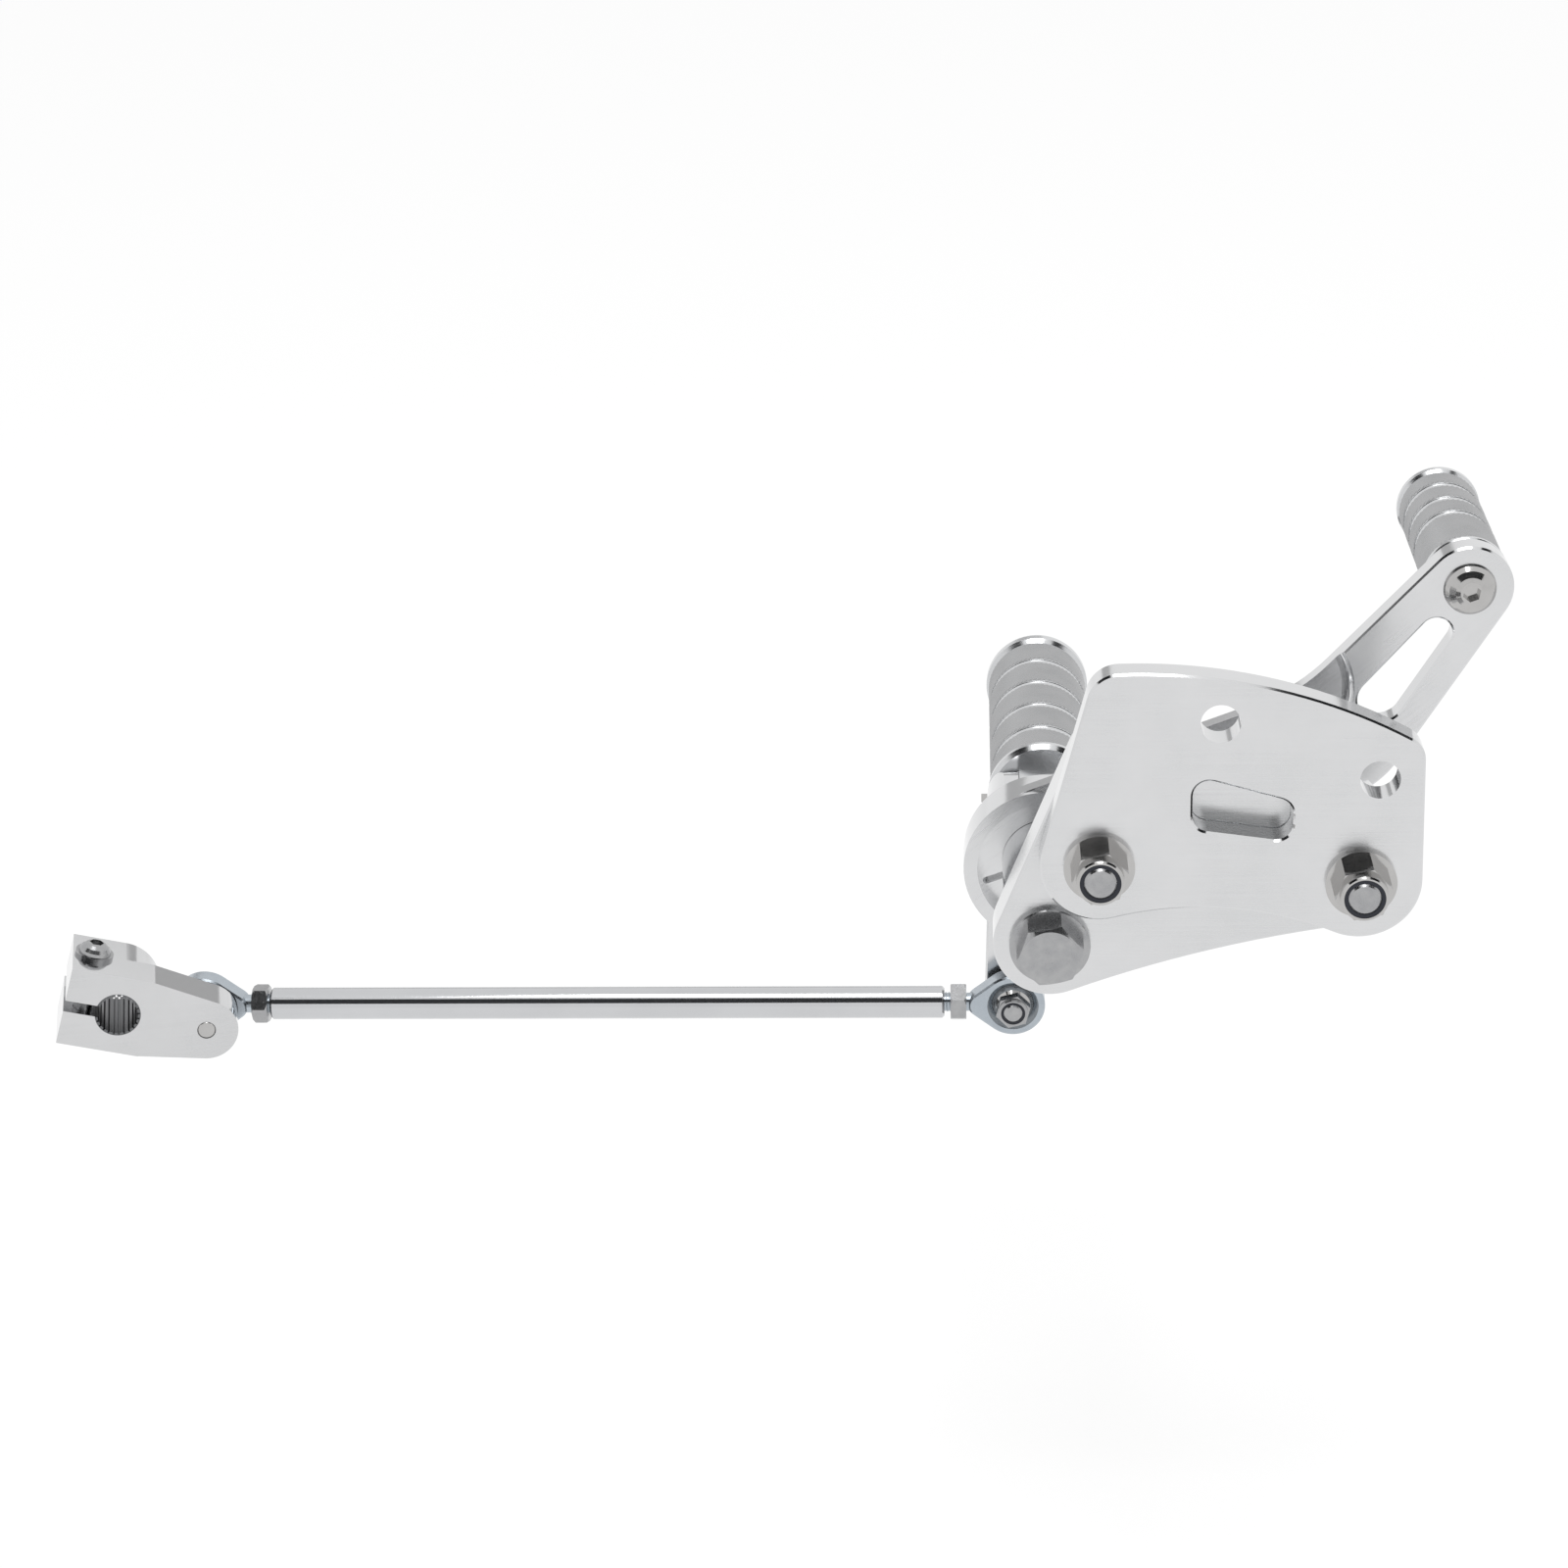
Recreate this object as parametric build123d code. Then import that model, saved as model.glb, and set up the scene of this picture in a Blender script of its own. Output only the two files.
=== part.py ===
from build123d import *
import math
import os

os.makedirs("parts", exist_ok=True)

# Shift side forward control for a motorcycle: plates, toe lever, folding foot peg and shift linkage.
# +X points forwards, +Y outboard and +Z up, in millimetres. The origin is midway between the two
# frame bolt holes, on the inboard face of the frame plate.

# Frame plate: bolts to the motorcycle frame and carries the rest.
FRAME_HOLE_SPACING = 50.8
FRAME_HOLE_SLOPE = -20.9
FRAME_HOLE_D = 12.0
FRAME_PLATE_T = 9.5
FRAME_TOP_REAR = (-61.2, 24.6)
FRAME_TOP_REAR_R = 10.0
FRAME_TOP_FRONT = (36.8, 1.5)
FRAME_TOP_FRONT_R = 8.0
FRAME_TOP_MIDDLE = (-13.0, 21.2)
FRAME_FRONT_LOBE_R = 18.4
FRAME_REAR_LOBE_R = 17.8
FRAME_HOLLOW_R = 103.0
EDGE_BREAK = 0.6
WINDOW_CORNERS = ((-26.6, -14.2), (-6.6, -20.0), (-6.6, -23.4), (-26.6, -20.6))
WINDOW_R = 5.0

# Control plate: sandwiched behind the frame plate, carries the pivot.
CONTROL_PLATE_T = 16.0
FRONT_BOLT = (19.1, -42.1)
REAR_BOLT = (-59.2, -36.7)
PLATE_BOLT_D = 10.0
PLATE_BOLT_CLEARANCE = 0.25
PLATE_BOLT_HEAD_R = 8.0
PLATE_BOLT_HEAD_H = 6.0
PLATE_BOLT_SOCKET_AF = 8.0
PLATE_BOLT_SOCKET_DEPTH = 3.5
HEAD_CHAMFER = 0.8
THREAD_CHAMFER = 0.7
SMALL_CHAMFER = 0.4
CONTROL_LOBE_R = 18.4
CONTROL_TOP_LEFT = (-60.0, -8.0)
CONTROL_TOP_RIGHT = (8.0, -15.0)
CONTROL_TOP_R = 8.0
PIVOT = (-73.7, -66.8)
PIVOT_BOSS_R = 17.4
CONTROL_HOLLOW_R = 380.0

# Flanged lock nuts.
FLANGE_NUT_AF = 15.0
FLANGE_NUT_H = 13.0
FLANGE_R = 10.7
FLANGE_T = 2.2
FLANGE_NUT_TURN = 12.0
FLANGE_NUT_CROWN_R = 7.2
FLANGE_NUT_CROWN_H = 3.0
CROWN_LIP = 0.5
INSERT_R = 6.2
INSERT_H = 2.6
INSERT_INSET = 0.2
BOLT_END_PROUD = 0.4

# Pivot: bolt, washer, spacer with a journal, bush.
PIVOT_BOLT_D = 12.0
PIVOT_BOLT_AF = 18.0
PIVOT_BOLT_HEAD_H = 7.5
PIVOT_BOLT_TURN = 11.0
PIVOT_BOLT_CROWN_R = 8.5
PIVOT_BOLT_CROWN_H = 1.3
WASHER_R = 12.4
WASHER_T = 2.5
SPACER_R = 14.0
SPACER_L = 47.2
JOURNAL_R = 10.0
HOLE_CLEARANCE = 0.2
RUNNING_CLEARANCE = 0.04
THRUST_GAP = 0.3
BUSH_WALL = 2.0

# Toe lever: hub, arm to the toe peg, short arm to the rod.
HUB_R = 26.5
HUB_RIM = 4.4
HUB_RECESS = 6.5
HUB_T = 15.0
STOP_SLOT_W = 2.4
STOP_SLOT_L = 9.0
STOP_SLOT_R = 17.0
STOP_SLOT_TURN = -70.0
STOP_SLOT_DEPTH = 3.0
LEVER_T = 8.5
LEVER_SCOOP = 2.4
LEVER_SCOOP_CENTRE = (-4.0, -6.5)
LEVER_SCOOP_R = 27.0
LEVER_SCOOP_FILLET = 4.0
TOE_BOLT = (57.0, 27.2)
TOE_END_R = 13.6
LEVER_TOP_BEND = (5.0, -8.5)
LEVER_TOP_BEND_R = 60.0
LEVER_LOW_BEND = (33.0, -37.0)
LEVER_LOW_BEND_R = 30.0
SLOT_TOP = (47.3, 12.6)
SLOT_TOP_R = 5.0
SLOT_LOW = (30.9, -9.6)
SLOT_LOW_R = 7.2
ROD_BOLT = (-84.5, -111.2)
ROD_ARM_R = 9.0
ROD_ARM_ROOT_R = 18.5

# Button screw heads: share of the height above the seat, share of the rim's radius.
BUTTON_SHAPE = ((0.0, 1.0), (0.32, 0.96), (0.65, 0.82), (0.9, 0.6), (1.0, 0.42))

# Toe peg and its screw.
TOE_PEG_R = 12.6
TOE_PEG_END_R = 13.5
TOE_PEG_L = 76.4
TOE_PEG_FLANGE_T = 5.7
TOE_GROOVE_COUNT = 3
TOE_GROOVE_PITCH = 14.4
TOE_SCREW_D = 8.0
TOE_SCREW_HEAD_R = 8.2
TOE_SCREW_HEAD_H = 4.6
TOE_SCREW_SOCKET_AF = 5.0
TOE_SCREW_SOCKET_DEPTH = 2.8
TOE_SCREW_TURN = 20.0
TOE_SCREW_DEPTH = 22.0

# Foot peg, its clevis mount and fold pin.
MOUNT_FLANGE_R = 21.0
MOUNT_FLANGE_T = 8.0
MOUNT_CHAMFER = 1.2
MOUNT_R = 18.6
EAR_GAP = 16.4
EAR_HALF_H = 13.2
FOLD_FROM_FLANGE = 23.4
FOLD_PIN_R = 4.0
FOLD_PIN_HEAD_R = 6.2
FOLD_PIN_HEAD_T = 2.0
FOLD_PIN_TIP = 1.0
CLIP_T = 1.0
CLIP_R = 6.0
CLIP_GROOVE_DEPTH = 0.8
CLIP_MOUTH = 3.6
TONGUE_CLEARANCE = 0.3
TONGUE_DROP = 1.0
COLLAR_FROM_PIN = 13.8
FOOT_PEG_R = 17.0
FOOT_PEG_END_R = 18.3
FOOT_PEG_L = 110.6
FOOT_PEG_FLANGE_T = 7.7
FOOT_GROOVE_COUNT = 4
FOOT_GROOVE_PITCH = 21.5
PEG_GROOVE_W = 2.6
PEG_GROOVE_DEPTH = 1.2

# Shares of a peg's end flange that give its collar, bevels and rounded rim.
PEG_COLLAR_SHARE = 0.6
PEG_BEVEL_SHARE = 0.18
PEG_RIM_SHARE = 0.45
PEG_RIM_STEPS = 4
PEG_FIRST_BAND = 0.85

# Shift rod with its two rod ends.
ROD_COLLAR_L = 1.8
ROD_L = 220.8
ROD_R = 5.25
ROD_END_TO_EYE = 22.2
THREAD_R = 3.0
THREAD_IN_ROD = 16.0
JAM_NUT_AF = 11.1
JAM_NUT_T = 5.1
FRONT_JAM_GAP = 2.0
REAR_JAM_GAP = 0.8
REAR_JAM_TURN = 24.0
EYE_R = 10.4
EYE_W = 6.8
EYE_CHAMFER = 0.6
EYE_MOUTH_R = 8.3
EYE_THROAT_R = 5.5
EYE_NECK = 14.4
EYE_NECK_R = 4.2
BALL_R = 6.9
BALL_W = 9.4
BALL_BORE_R = 3.0
BALL_CLEARANCE = 0.05
BALL_STEPS = 8
ROD_BOLT_R = 3.0
SMALL_NUT_AF = 10.0
SMALL_NUT_H = 4.2
SMALL_NUT_TURN = 15.0
SMALL_NUT_CROWN_R = 4.8
SMALL_NUT_CROWN_H = 1.0
SMALL_CROWN_LIP = 0.4
SMALL_INSERT_R = 3.9
SMALL_INSERT_H = 1.6

# Splined clamp arm on the rear rod end.
ARM_TILT = 12.5
ARM_SLOPE = 17.1
ARM_LENGTH = 28.9
ARM_CHEEK_T = 13.8
ARM_CLAMP_T = 27.0
ARM_HALF_H = 13.4
ARM_END_R = 10.2
ARM_TAIL = 17.2
ARM_SHOULDER_BACK = 9.4
ARM_CORNER_R = 1.0
ARM_BOSS_R = 4.6
ARM_BOSS_H = 1.5
ARM_PIN_LIP = 0.2
ARM_PIN_HEAD_R = 5.0
ARM_PIN_HEAD_T = 2.2
SPLINE_BORE_R = 6.4
SPLINE_DEPTH = 0.7
SPLINE_TEETH = 24
SPLINE_MOUTH_SHARE = 0.54
SPLINE_ROOT_SHARE = 0.28
CLAMP_SLIT = 3.8
CLAMP_SCREW_D = 6.0
CLAMP_SCREW_BACK = 10.4
CLAMP_HOLE_FLOOR = 3.0
CLAMP_WASHER_R = 6.1
CLAMP_WASHER_T = 1.2
CLAMP_HEAD_R = 5.2
CLAMP_HEAD_H = 3.3
CLAMP_SOCKET_AF = 4.0
CLAMP_SOCKET_DEPTH = 1.9

# How far a cutting shape reaches past the face that it cuts.
CUT_PAST = 1.0

# Places along Y that follow from the thicknesses above.
CONTROL_FRONT = FRAME_PLATE_T
CONTROL_BACK = CONTROL_FRONT + CONTROL_PLATE_T
SPACER_END = CONTROL_BACK + SPACER_L
HUB_FRONT = SPACER_END + THRUST_GAP - HUB_RECESS
HUB_BACK = HUB_FRONT + HUB_T
MOUNT_FACE = HUB_BACK + THRUST_GAP
LEVER_BACK = HUB_FRONT + LEVER_T
MOUNT_FLANGE_BACK = MOUNT_FACE + MOUNT_FLANGE_T
FOLD_Y = MOUNT_FLANGE_BACK + FOLD_FROM_FLANGE
COLLAR_Y = FOLD_Y + COLLAR_FROM_PIN
ROD_PLANE = HUB_FRONT - ROD_COLLAR_L - BALL_W / 2
ROD_REAR = ROD_BOLT[0] - ROD_END_TO_EYE - ROD_L
REAR_EYE_X = ROD_REAR - ROD_END_TO_EYE
PARTS = {}


def side(y):
    """Plane facing inboard at depth y, with X to the right and Z up."""
    return Plane(origin=(0, y, 0), x_dir=(1, 0, 0), z_dir=(0, -1, 0))


def slab(face, y_near, y_far):
    """Extrude a face drawn in X and Z from y_near out to y_far."""
    return extrude(side(y_near) * face, amount=y_near - y_far)


def disc(centre, radius, y_near, y_far):
    """Round slab about an axis along Y."""
    return slab(Pos(centre[0], centre[1]) * Circle(radius), y_near, y_far)


def hexagon(centre, across_flats, y_near, y_far, turn=0.0):
    """Hexagonal slab about an axis along Y."""
    outline = RegularPolygon(radius=across_flats / 2, side_count=6, major_radius=False)
    return slab(Pos(centre[0], centre[1]) * Rot(0, 0, turn) * outline, y_near, y_far)


def turned(profile, centre, y_start):
    """Revolve (distance along Y, radius) points about an axis along Y through centre."""
    outline = Polyline([(0, 0)] + [(r, d) for d, r in profile] + [(0, profile[-1][0])], close=True)
    solid = revolve(make_face(outline), Axis.Y)
    return Pos(centre[0], y_start, centre[1]) * solid


def hull(circles):
    """Outline that wraps a list of (centre, radius) circles."""
    edges = []
    for centre, radius in circles:
        edges += (Pos(centre[0], centre[1]) * Circle(radius)).edges()
    return make_hull(edges)


def tangent_points(a, a_r, b, b_r, left):
    """Ends of the outer tangent of two circles, on the left or right of the way from a to b."""
    along = math.atan2(b[1] - a[1], b[0] - a[0])
    lean = math.asin((a_r - b_r) / math.dist(a, b))
    angle = along + (math.pi / 2 - lean if left else lean - math.pi / 2)
    unit = (math.cos(angle), math.sin(angle))
    return (a[0] + a_r * unit[0], a[1] + a_r * unit[1]), (b[0] + b_r * unit[0], b[1] + b_r * unit[1])


def hollow_points(a, a_r, b, b_r, radius):
    """Ends and middle of the arc that hollows in between two circles and is tangent to both."""
    span = math.dist(a, b)
    reach_a = a_r + radius
    reach_b = b_r + radius
    along = (span**2 + reach_a**2 - reach_b**2) / (2 * span)
    out = math.sqrt(reach_a**2 - along**2)
    ux, uz = (b[0] - a[0]) / span, (b[1] - a[1]) / span
    centre = (a[0] + ux * along - uz * out, a[1] + uz * along + ux * out)
    start = (a[0] + (centre[0] - a[0]) * a_r / reach_a, a[1] + (centre[1] - a[1]) * a_r / reach_a)
    end = (b[0] + (centre[0] - b[0]) * b_r / reach_b, b[1] + (centre[1] - b[1]) * b_r / reach_b)
    middle = (centre[0] + uz * radius, centre[1] - ux * radius)
    return start, middle, end


def lobe_arc(centre, radius, enter, leave):
    """Arc that runs clockwise round a lobe, from the point where an outline enters it to where it leaves."""
    first = math.atan2(enter[1] - centre[1], enter[0] - centre[0])
    sweep = (first - math.atan2(leave[1] - centre[1], leave[0] - centre[0])) % (2 * math.pi)
    half = first - sweep / 2
    top = (centre[0] + radius * math.cos(half), centre[1] + radius * math.sin(half))
    return ThreePointArc(enter, top, leave)


def lobed_face(circles, hollow_r):
    """Face round (centre, radius) circles listed clockwise; the last link but one hollows inwards."""
    links = []
    for (a, a_r), (b, b_r) in zip(circles, circles[1:] + circles[:1]):
        links.append(tangent_points(a, a_r, b, b_r, True))
    start, middle, end = hollow_points(*circles[-2], *circles[-1], hollow_r)
    links[-2] = (start, end)
    edges = []
    for index, (centre, radius) in enumerate(circles):
        edges.append(lobe_arc(centre, radius, links[index - 1][1], links[index][0]))
        if index == len(circles) - 2:
            edges.append(ThreePointArc(start, middle, end))
        else:
            edges.append(Line(*links[index]))
    return make_face(edges)


def break_edges(solid, size):
    """Chamfer the outlines and windows of a flat slab on both of its faces."""
    faces = solid.faces().sort_by(Axis.Y)
    return chamfer(faces[0].edges() + faces[-1].edges(), size)


def button_head(centre, rim, height, seat, outward):
    """Domed screw head that sits on y = seat and rises along outward (+1 or -1) in Y."""
    outline = [(tall * height, wide * rim) for tall, wide in BUTTON_SHAPE]
    if outward > 0:
        return turned(outline, centre, seat)
    return turned([(height - rise, radius) for rise, radius in reversed(outline)], centre, seat - height)


def ball_zone(radius, half_width):
    """Turned outline of a ball cut off flat on both sides, in short cones that keep its mesh light."""
    reach = math.asin(half_width / radius)
    turns = [reach * (2 * index / BALL_STEPS - 1) for index in range(BALL_STEPS + 1)]
    return [(half_width + radius * math.sin(turn), radius * math.cos(turn)) for turn in turns]


def frame_holes():
    """Centres of the two holes that take the motorcycle's frame bolts."""
    slope = math.radians(FRAME_HOLE_SLOPE)
    x = math.cos(slope) * FRAME_HOLE_SPACING / 2
    z = math.sin(slope) * FRAME_HOLE_SPACING / 2
    return [(-x, -z), (x, z)]


def frame_plate():
    """Mounting plate: crowned top, lobes round its two bolts with a hollow between them, and a window."""
    front, front_r = FRONT_BOLT, FRAME_FRONT_LOBE_R
    rear, rear_r = REAR_BOLT, FRAME_REAR_LOBE_R
    front_enter = tangent_points(FRAME_TOP_FRONT, 0.0, front, front_r, True)[1]
    rear_leave = tangent_points(rear, rear_r, FRAME_TOP_REAR, 0.0, True)[0]
    front_leave, middle, rear_enter = hollow_points(front, front_r, rear, rear_r, FRAME_HOLLOW_R)
    outline = [
        ThreePointArc(FRAME_TOP_REAR, FRAME_TOP_MIDDLE, FRAME_TOP_FRONT),
        Line(FRAME_TOP_FRONT, front_enter),
        lobe_arc(front, front_r, front_enter, front_leave),
        ThreePointArc(front_leave, middle, rear_enter),
        lobe_arc(rear, rear_r, rear_enter, rear_leave),
        Line(rear_leave, FRAME_TOP_REAR),
    ]
    face = make_face(outline)
    for corner, radius in ((FRAME_TOP_REAR, FRAME_TOP_REAR_R), (FRAME_TOP_FRONT, FRAME_TOP_FRONT_R)):
        face = fillet(face.vertices().sort_by_distance((corner[0], corner[1], 0))[0], radius)
    face -= hull([(corner, WINDOW_R) for corner in WINDOW_CORNERS])
    plate = break_edges(slab(face, 0, FRAME_PLATE_T), EDGE_BREAK)
    for hole in frame_holes():
        plate -= disc(hole, FRAME_HOLE_D / 2, 0, FRAME_PLATE_T)
    for hole in (FRONT_BOLT, REAR_BOLT):
        plate -= disc(hole, PLATE_BOLT_D / 2 + PLATE_BOLT_CLEARANCE, 0, FRAME_PLATE_T)
    return plate


def control_plate():
    """Thick plate that reaches down to the pivot boss."""
    face = lobed_face(
        [
            (CONTROL_TOP_LEFT, CONTROL_TOP_R),
            (CONTROL_TOP_RIGHT, CONTROL_TOP_R),
            (FRONT_BOLT, CONTROL_LOBE_R),
            (PIVOT, PIVOT_BOSS_R),
        ],
        CONTROL_HOLLOW_R,
    )
    plate = break_edges(slab(face, CONTROL_FRONT, CONTROL_BACK), EDGE_BREAK)
    for hole in (FRONT_BOLT, REAR_BOLT):
        plate -= disc(hole, PLATE_BOLT_D / 2 + PLATE_BOLT_CLEARANCE, CONTROL_FRONT, CONTROL_BACK)
    return plate - disc(PIVOT, PIVOT_BOLT_D / 2 + HOLE_CLEARANCE, CONTROL_FRONT, CONTROL_BACK)


def plate_fasteners():
    """Two through bolts, their flanged lock nuts and the nylon rings in the nuts."""
    bolts = []
    nuts = []
    rings = []
    shank_r = PLATE_BOLT_D / 2
    head_top = CONTROL_BACK + PLATE_BOLT_HEAD_H
    nut_end = -FLANGE_NUT_H
    crown = [
        (0, INSERT_R + CROWN_LIP),
        (CROWN_LIP, FLANGE_NUT_CROWN_R),
        (FLANGE_NUT_CROWN_H + CROWN_LIP, FLANGE_NUT_CROWN_R),
    ]
    for place in (FRONT_BOLT, REAR_BOLT):
        head = disc(place, PLATE_BOLT_HEAD_R, CONTROL_BACK, head_top)
        head = chamfer(head.faces().sort_by(Axis.Y)[-1].edges(), HEAD_CHAMFER)
        head -= hexagon(place, PLATE_BOLT_SOCKET_AF, head_top - PLATE_BOLT_SOCKET_DEPTH, head_top)
        shank = disc(place, shank_r, nut_end - BOLT_END_PROUD, CONTROL_BACK)
        shank = chamfer(shank.faces().sort_by(Axis.Y)[0].edges(), THREAD_CHAMFER)
        bolts.append(head + shank)
        nut = hexagon(place, FLANGE_NUT_AF, nut_end + FLANGE_NUT_CROWN_H, 0, turn=FLANGE_NUT_TURN)
        nut += disc(place, FLANGE_R, -FLANGE_T, 0) + turned(crown, place, nut_end)
        nut -= disc(place, shank_r, nut_end, 0)
        nuts.append(nut - disc(place, INSERT_R, nut_end, nut_end + INSERT_H))
        ring = disc(place, INSERT_R, nut_end + INSERT_INSET, nut_end + INSERT_H)
        rings.append(ring - disc(place, shank_r, nut_end, 0))
    PARTS["plate_bolts"] = bolts
    PARTS["flange_nuts"] = nuts
    PARTS["flange_nut_inserts"] = rings


def pivot_parts():
    """Hexagon bolt, washer, journal spacer and bronze bush on the pivot axis."""
    head_back = CONTROL_FRONT - WASHER_T
    head_top = head_back - PIVOT_BOLT_HEAD_H
    corner_r = PIVOT_BOLT_AF / math.sqrt(3)
    head = hexagon(PIVOT, PIVOT_BOLT_AF, head_top, head_back, turn=PIVOT_BOLT_TURN)
    crown = [(0, PIVOT_BOLT_CROWN_R), (PIVOT_BOLT_CROWN_H, corner_r), (PIVOT_BOLT_HEAD_H, corner_r + CUT_PAST)]
    head &= turned(crown, PIVOT, head_top)
    PARTS["pivot_bolt"] = [head + disc(PIVOT, PIVOT_BOLT_D / 2, head_back, MOUNT_FLANGE_BACK)]
    hole_r = PIVOT_BOLT_D / 2 + HOLE_CLEARANCE
    washer = disc(PIVOT, WASHER_R, head_back, CONTROL_FRONT)
    washer = chamfer(washer.faces().sort_by(Axis.Y)[0].edges(), SMALL_CHAMFER)
    PARTS["pivot_washer"] = [washer - disc(PIVOT, hole_r, head_back, CONTROL_FRONT)]
    spacer = disc(PIVOT, SPACER_R, CONTROL_BACK, SPACER_END)
    spacer += disc(PIVOT, JOURNAL_R, SPACER_END, MOUNT_FACE)
    PARTS["pivot_spacer"] = [spacer - disc(PIVOT, hole_r, CONTROL_BACK, MOUNT_FACE)]
    bush = disc(PIVOT, JOURNAL_R + RUNNING_CLEARANCE + BUSH_WALL, SPACER_END + THRUST_GAP, HUB_BACK)
    PARTS["pivot_bush"] = [bush - disc(PIVOT, JOURNAL_R + RUNNING_CLEARANCE, SPACER_END, HUB_BACK)]


def lever_outline():
    """Toe lever seen from the side: hub, bent arm and rod arm, with its long tapered window."""
    top_hub = tangent_points(PIVOT, HUB_R, LEVER_TOP_BEND, 0.0, True)[0]
    low_hub = tangent_points(PIVOT, HUB_R, LEVER_LOW_BEND, 0.0, False)[0]
    toe_top = tangent_points(LEVER_TOP_BEND, 0.0, TOE_BOLT, TOE_END_R, True)[1]
    toe_low = tangent_points(LEVER_LOW_BEND, 0.0, TOE_BOLT, TOE_END_R, False)[1]
    corners = [PIVOT, low_hub, LEVER_LOW_BEND, toe_low, TOE_BOLT, toe_top, LEVER_TOP_BEND, top_hub]
    arm = make_face(Polyline(corners, close=True))
    for bend, radius in ((LEVER_TOP_BEND, LEVER_TOP_BEND_R), (LEVER_LOW_BEND, LEVER_LOW_BEND_R)):
        arm = fillet(arm.vertices().sort_by_distance((bend[0], bend[1], 0))[0], radius)
    face = arm + Pos(*PIVOT) * Circle(HUB_R) + Pos(*TOE_BOLT) * Circle(TOE_END_R)
    face += hull([(PIVOT, ROD_ARM_ROOT_R), (ROD_BOLT, ROD_ARM_R)])
    return face - hull([(SLOT_TOP, SLOT_TOP_R), (SLOT_LOW, SLOT_LOW_R)])


def shift_lever():
    """One piece lever with a recessed hub and a scooped web between hub and toe arm."""
    lever = break_edges(slab(lever_outline(), HUB_FRONT, LEVER_BACK), EDGE_BREAK)
    pocket = hull([(PIVOT, HUB_R), (LEVER_SCOOP_CENTRE, LEVER_SCOOP_R)])
    scoop = slab(pocket, HUB_FRONT - LEVER_SCOOP_FILLET, HUB_FRONT + LEVER_SCOOP)
    lever -= fillet(scoop.faces().sort_by(Axis.Y)[-1].edges(), LEVER_SCOOP_FILLET)
    lever += disc(PIVOT, HUB_R, HUB_FRONT, HUB_BACK)
    lever -= disc(PIVOT, HUB_R - HUB_RIM, HUB_FRONT, HUB_FRONT + HUB_RECESS)
    lever -= disc(PIVOT, JOURNAL_R + RUNNING_CLEARANCE + BUSH_WALL, HUB_FRONT, HUB_BACK)
    slot = Pos(0, -STOP_SLOT_R) * Rot(0, 0, 90) * SlotOverall(STOP_SLOT_L, STOP_SLOT_W)
    slot_floor = HUB_FRONT + HUB_RECESS + STOP_SLOT_DEPTH
    lever -= slab(Pos(*PIVOT) * Rot(0, 0, STOP_SLOT_TURN) * slot, HUB_FRONT, slot_floor)
    lever -= disc(TOE_BOLT, TOE_SCREW_D / 2 + HOLE_CLEARANCE, HUB_FRONT, LEVER_BACK)
    lever -= disc(ROD_BOLT, ROD_BOLT_R, HUB_FRONT, LEVER_BACK)
    PARTS["shift_lever"] = [lever]


def rim_points(radius, start, size, steps):
    """Quarter round of short cones that turns a wall of this radius into a face, size above start."""
    angles = [math.pi / 2 * index / steps for index in range(steps + 1)]
    return [(start + size * math.sin(angle), radius - size + size * math.cos(angle)) for angle in angles]


def peg_body(length, body_r, end_r, flange_t, grooves, pitch):
    """Peg turned about Y: bevelled collar at y = 0, grooved grip and a rounded end flange."""
    bevel = flange_t * PEG_BEVEL_SHARE
    collar = flange_t * PEG_COLLAR_SHARE
    rim = flange_t * PEG_RIM_SHARE
    lip = end_r - body_r
    flange = length - flange_t
    outline = [(0, end_r - bevel), (bevel, end_r), (collar - bevel, end_r), (collar, end_r - bevel)]
    outline.append((collar, body_r))
    for index in reversed(range(grooves)):
        near = flange - pitch * (index + PEG_FIRST_BAND) - PEG_GROOVE_W / 2
        far = near + PEG_GROOVE_W
        floor_r = body_r - PEG_GROOVE_DEPTH
        outline += [(near, body_r), (near, floor_r), (far, floor_r), (far, body_r)]
    outline += [(flange, body_r), (flange + lip, end_r)]
    outline += rim_points(end_r, length - rim, rim, PEG_RIM_STEPS)
    return turned(outline, (0, 0), 0)


def toe_peg():
    """Toe peg with a threaded base, and the button head screw that holds it."""
    peg = peg_body(TOE_PEG_L, TOE_PEG_R, TOE_PEG_END_R, TOE_PEG_FLANGE_T, TOE_GROOVE_COUNT, TOE_GROOVE_PITCH)
    peg = Pos(TOE_BOLT[0], LEVER_BACK, TOE_BOLT[1]) * peg
    PARTS["toe_peg"] = [peg - disc(TOE_BOLT, TOE_SCREW_D / 2, LEVER_BACK, LEVER_BACK + TOE_SCREW_DEPTH)]
    head = button_head(TOE_BOLT, TOE_SCREW_HEAD_R, TOE_SCREW_HEAD_H, HUB_FRONT, -1)
    head_top = HUB_FRONT - TOE_SCREW_HEAD_H
    socket_floor = head_top + TOE_SCREW_SOCKET_DEPTH
    head -= hexagon(TOE_BOLT, TOE_SCREW_SOCKET_AF, head_top, socket_floor, turn=TOE_SCREW_TURN)
    shank = disc(TOE_BOLT, TOE_SCREW_D / 2, HUB_FRONT, LEVER_BACK + TOE_SCREW_DEPTH)
    PARTS["toe_peg_screw"] = [head + shank]


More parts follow.
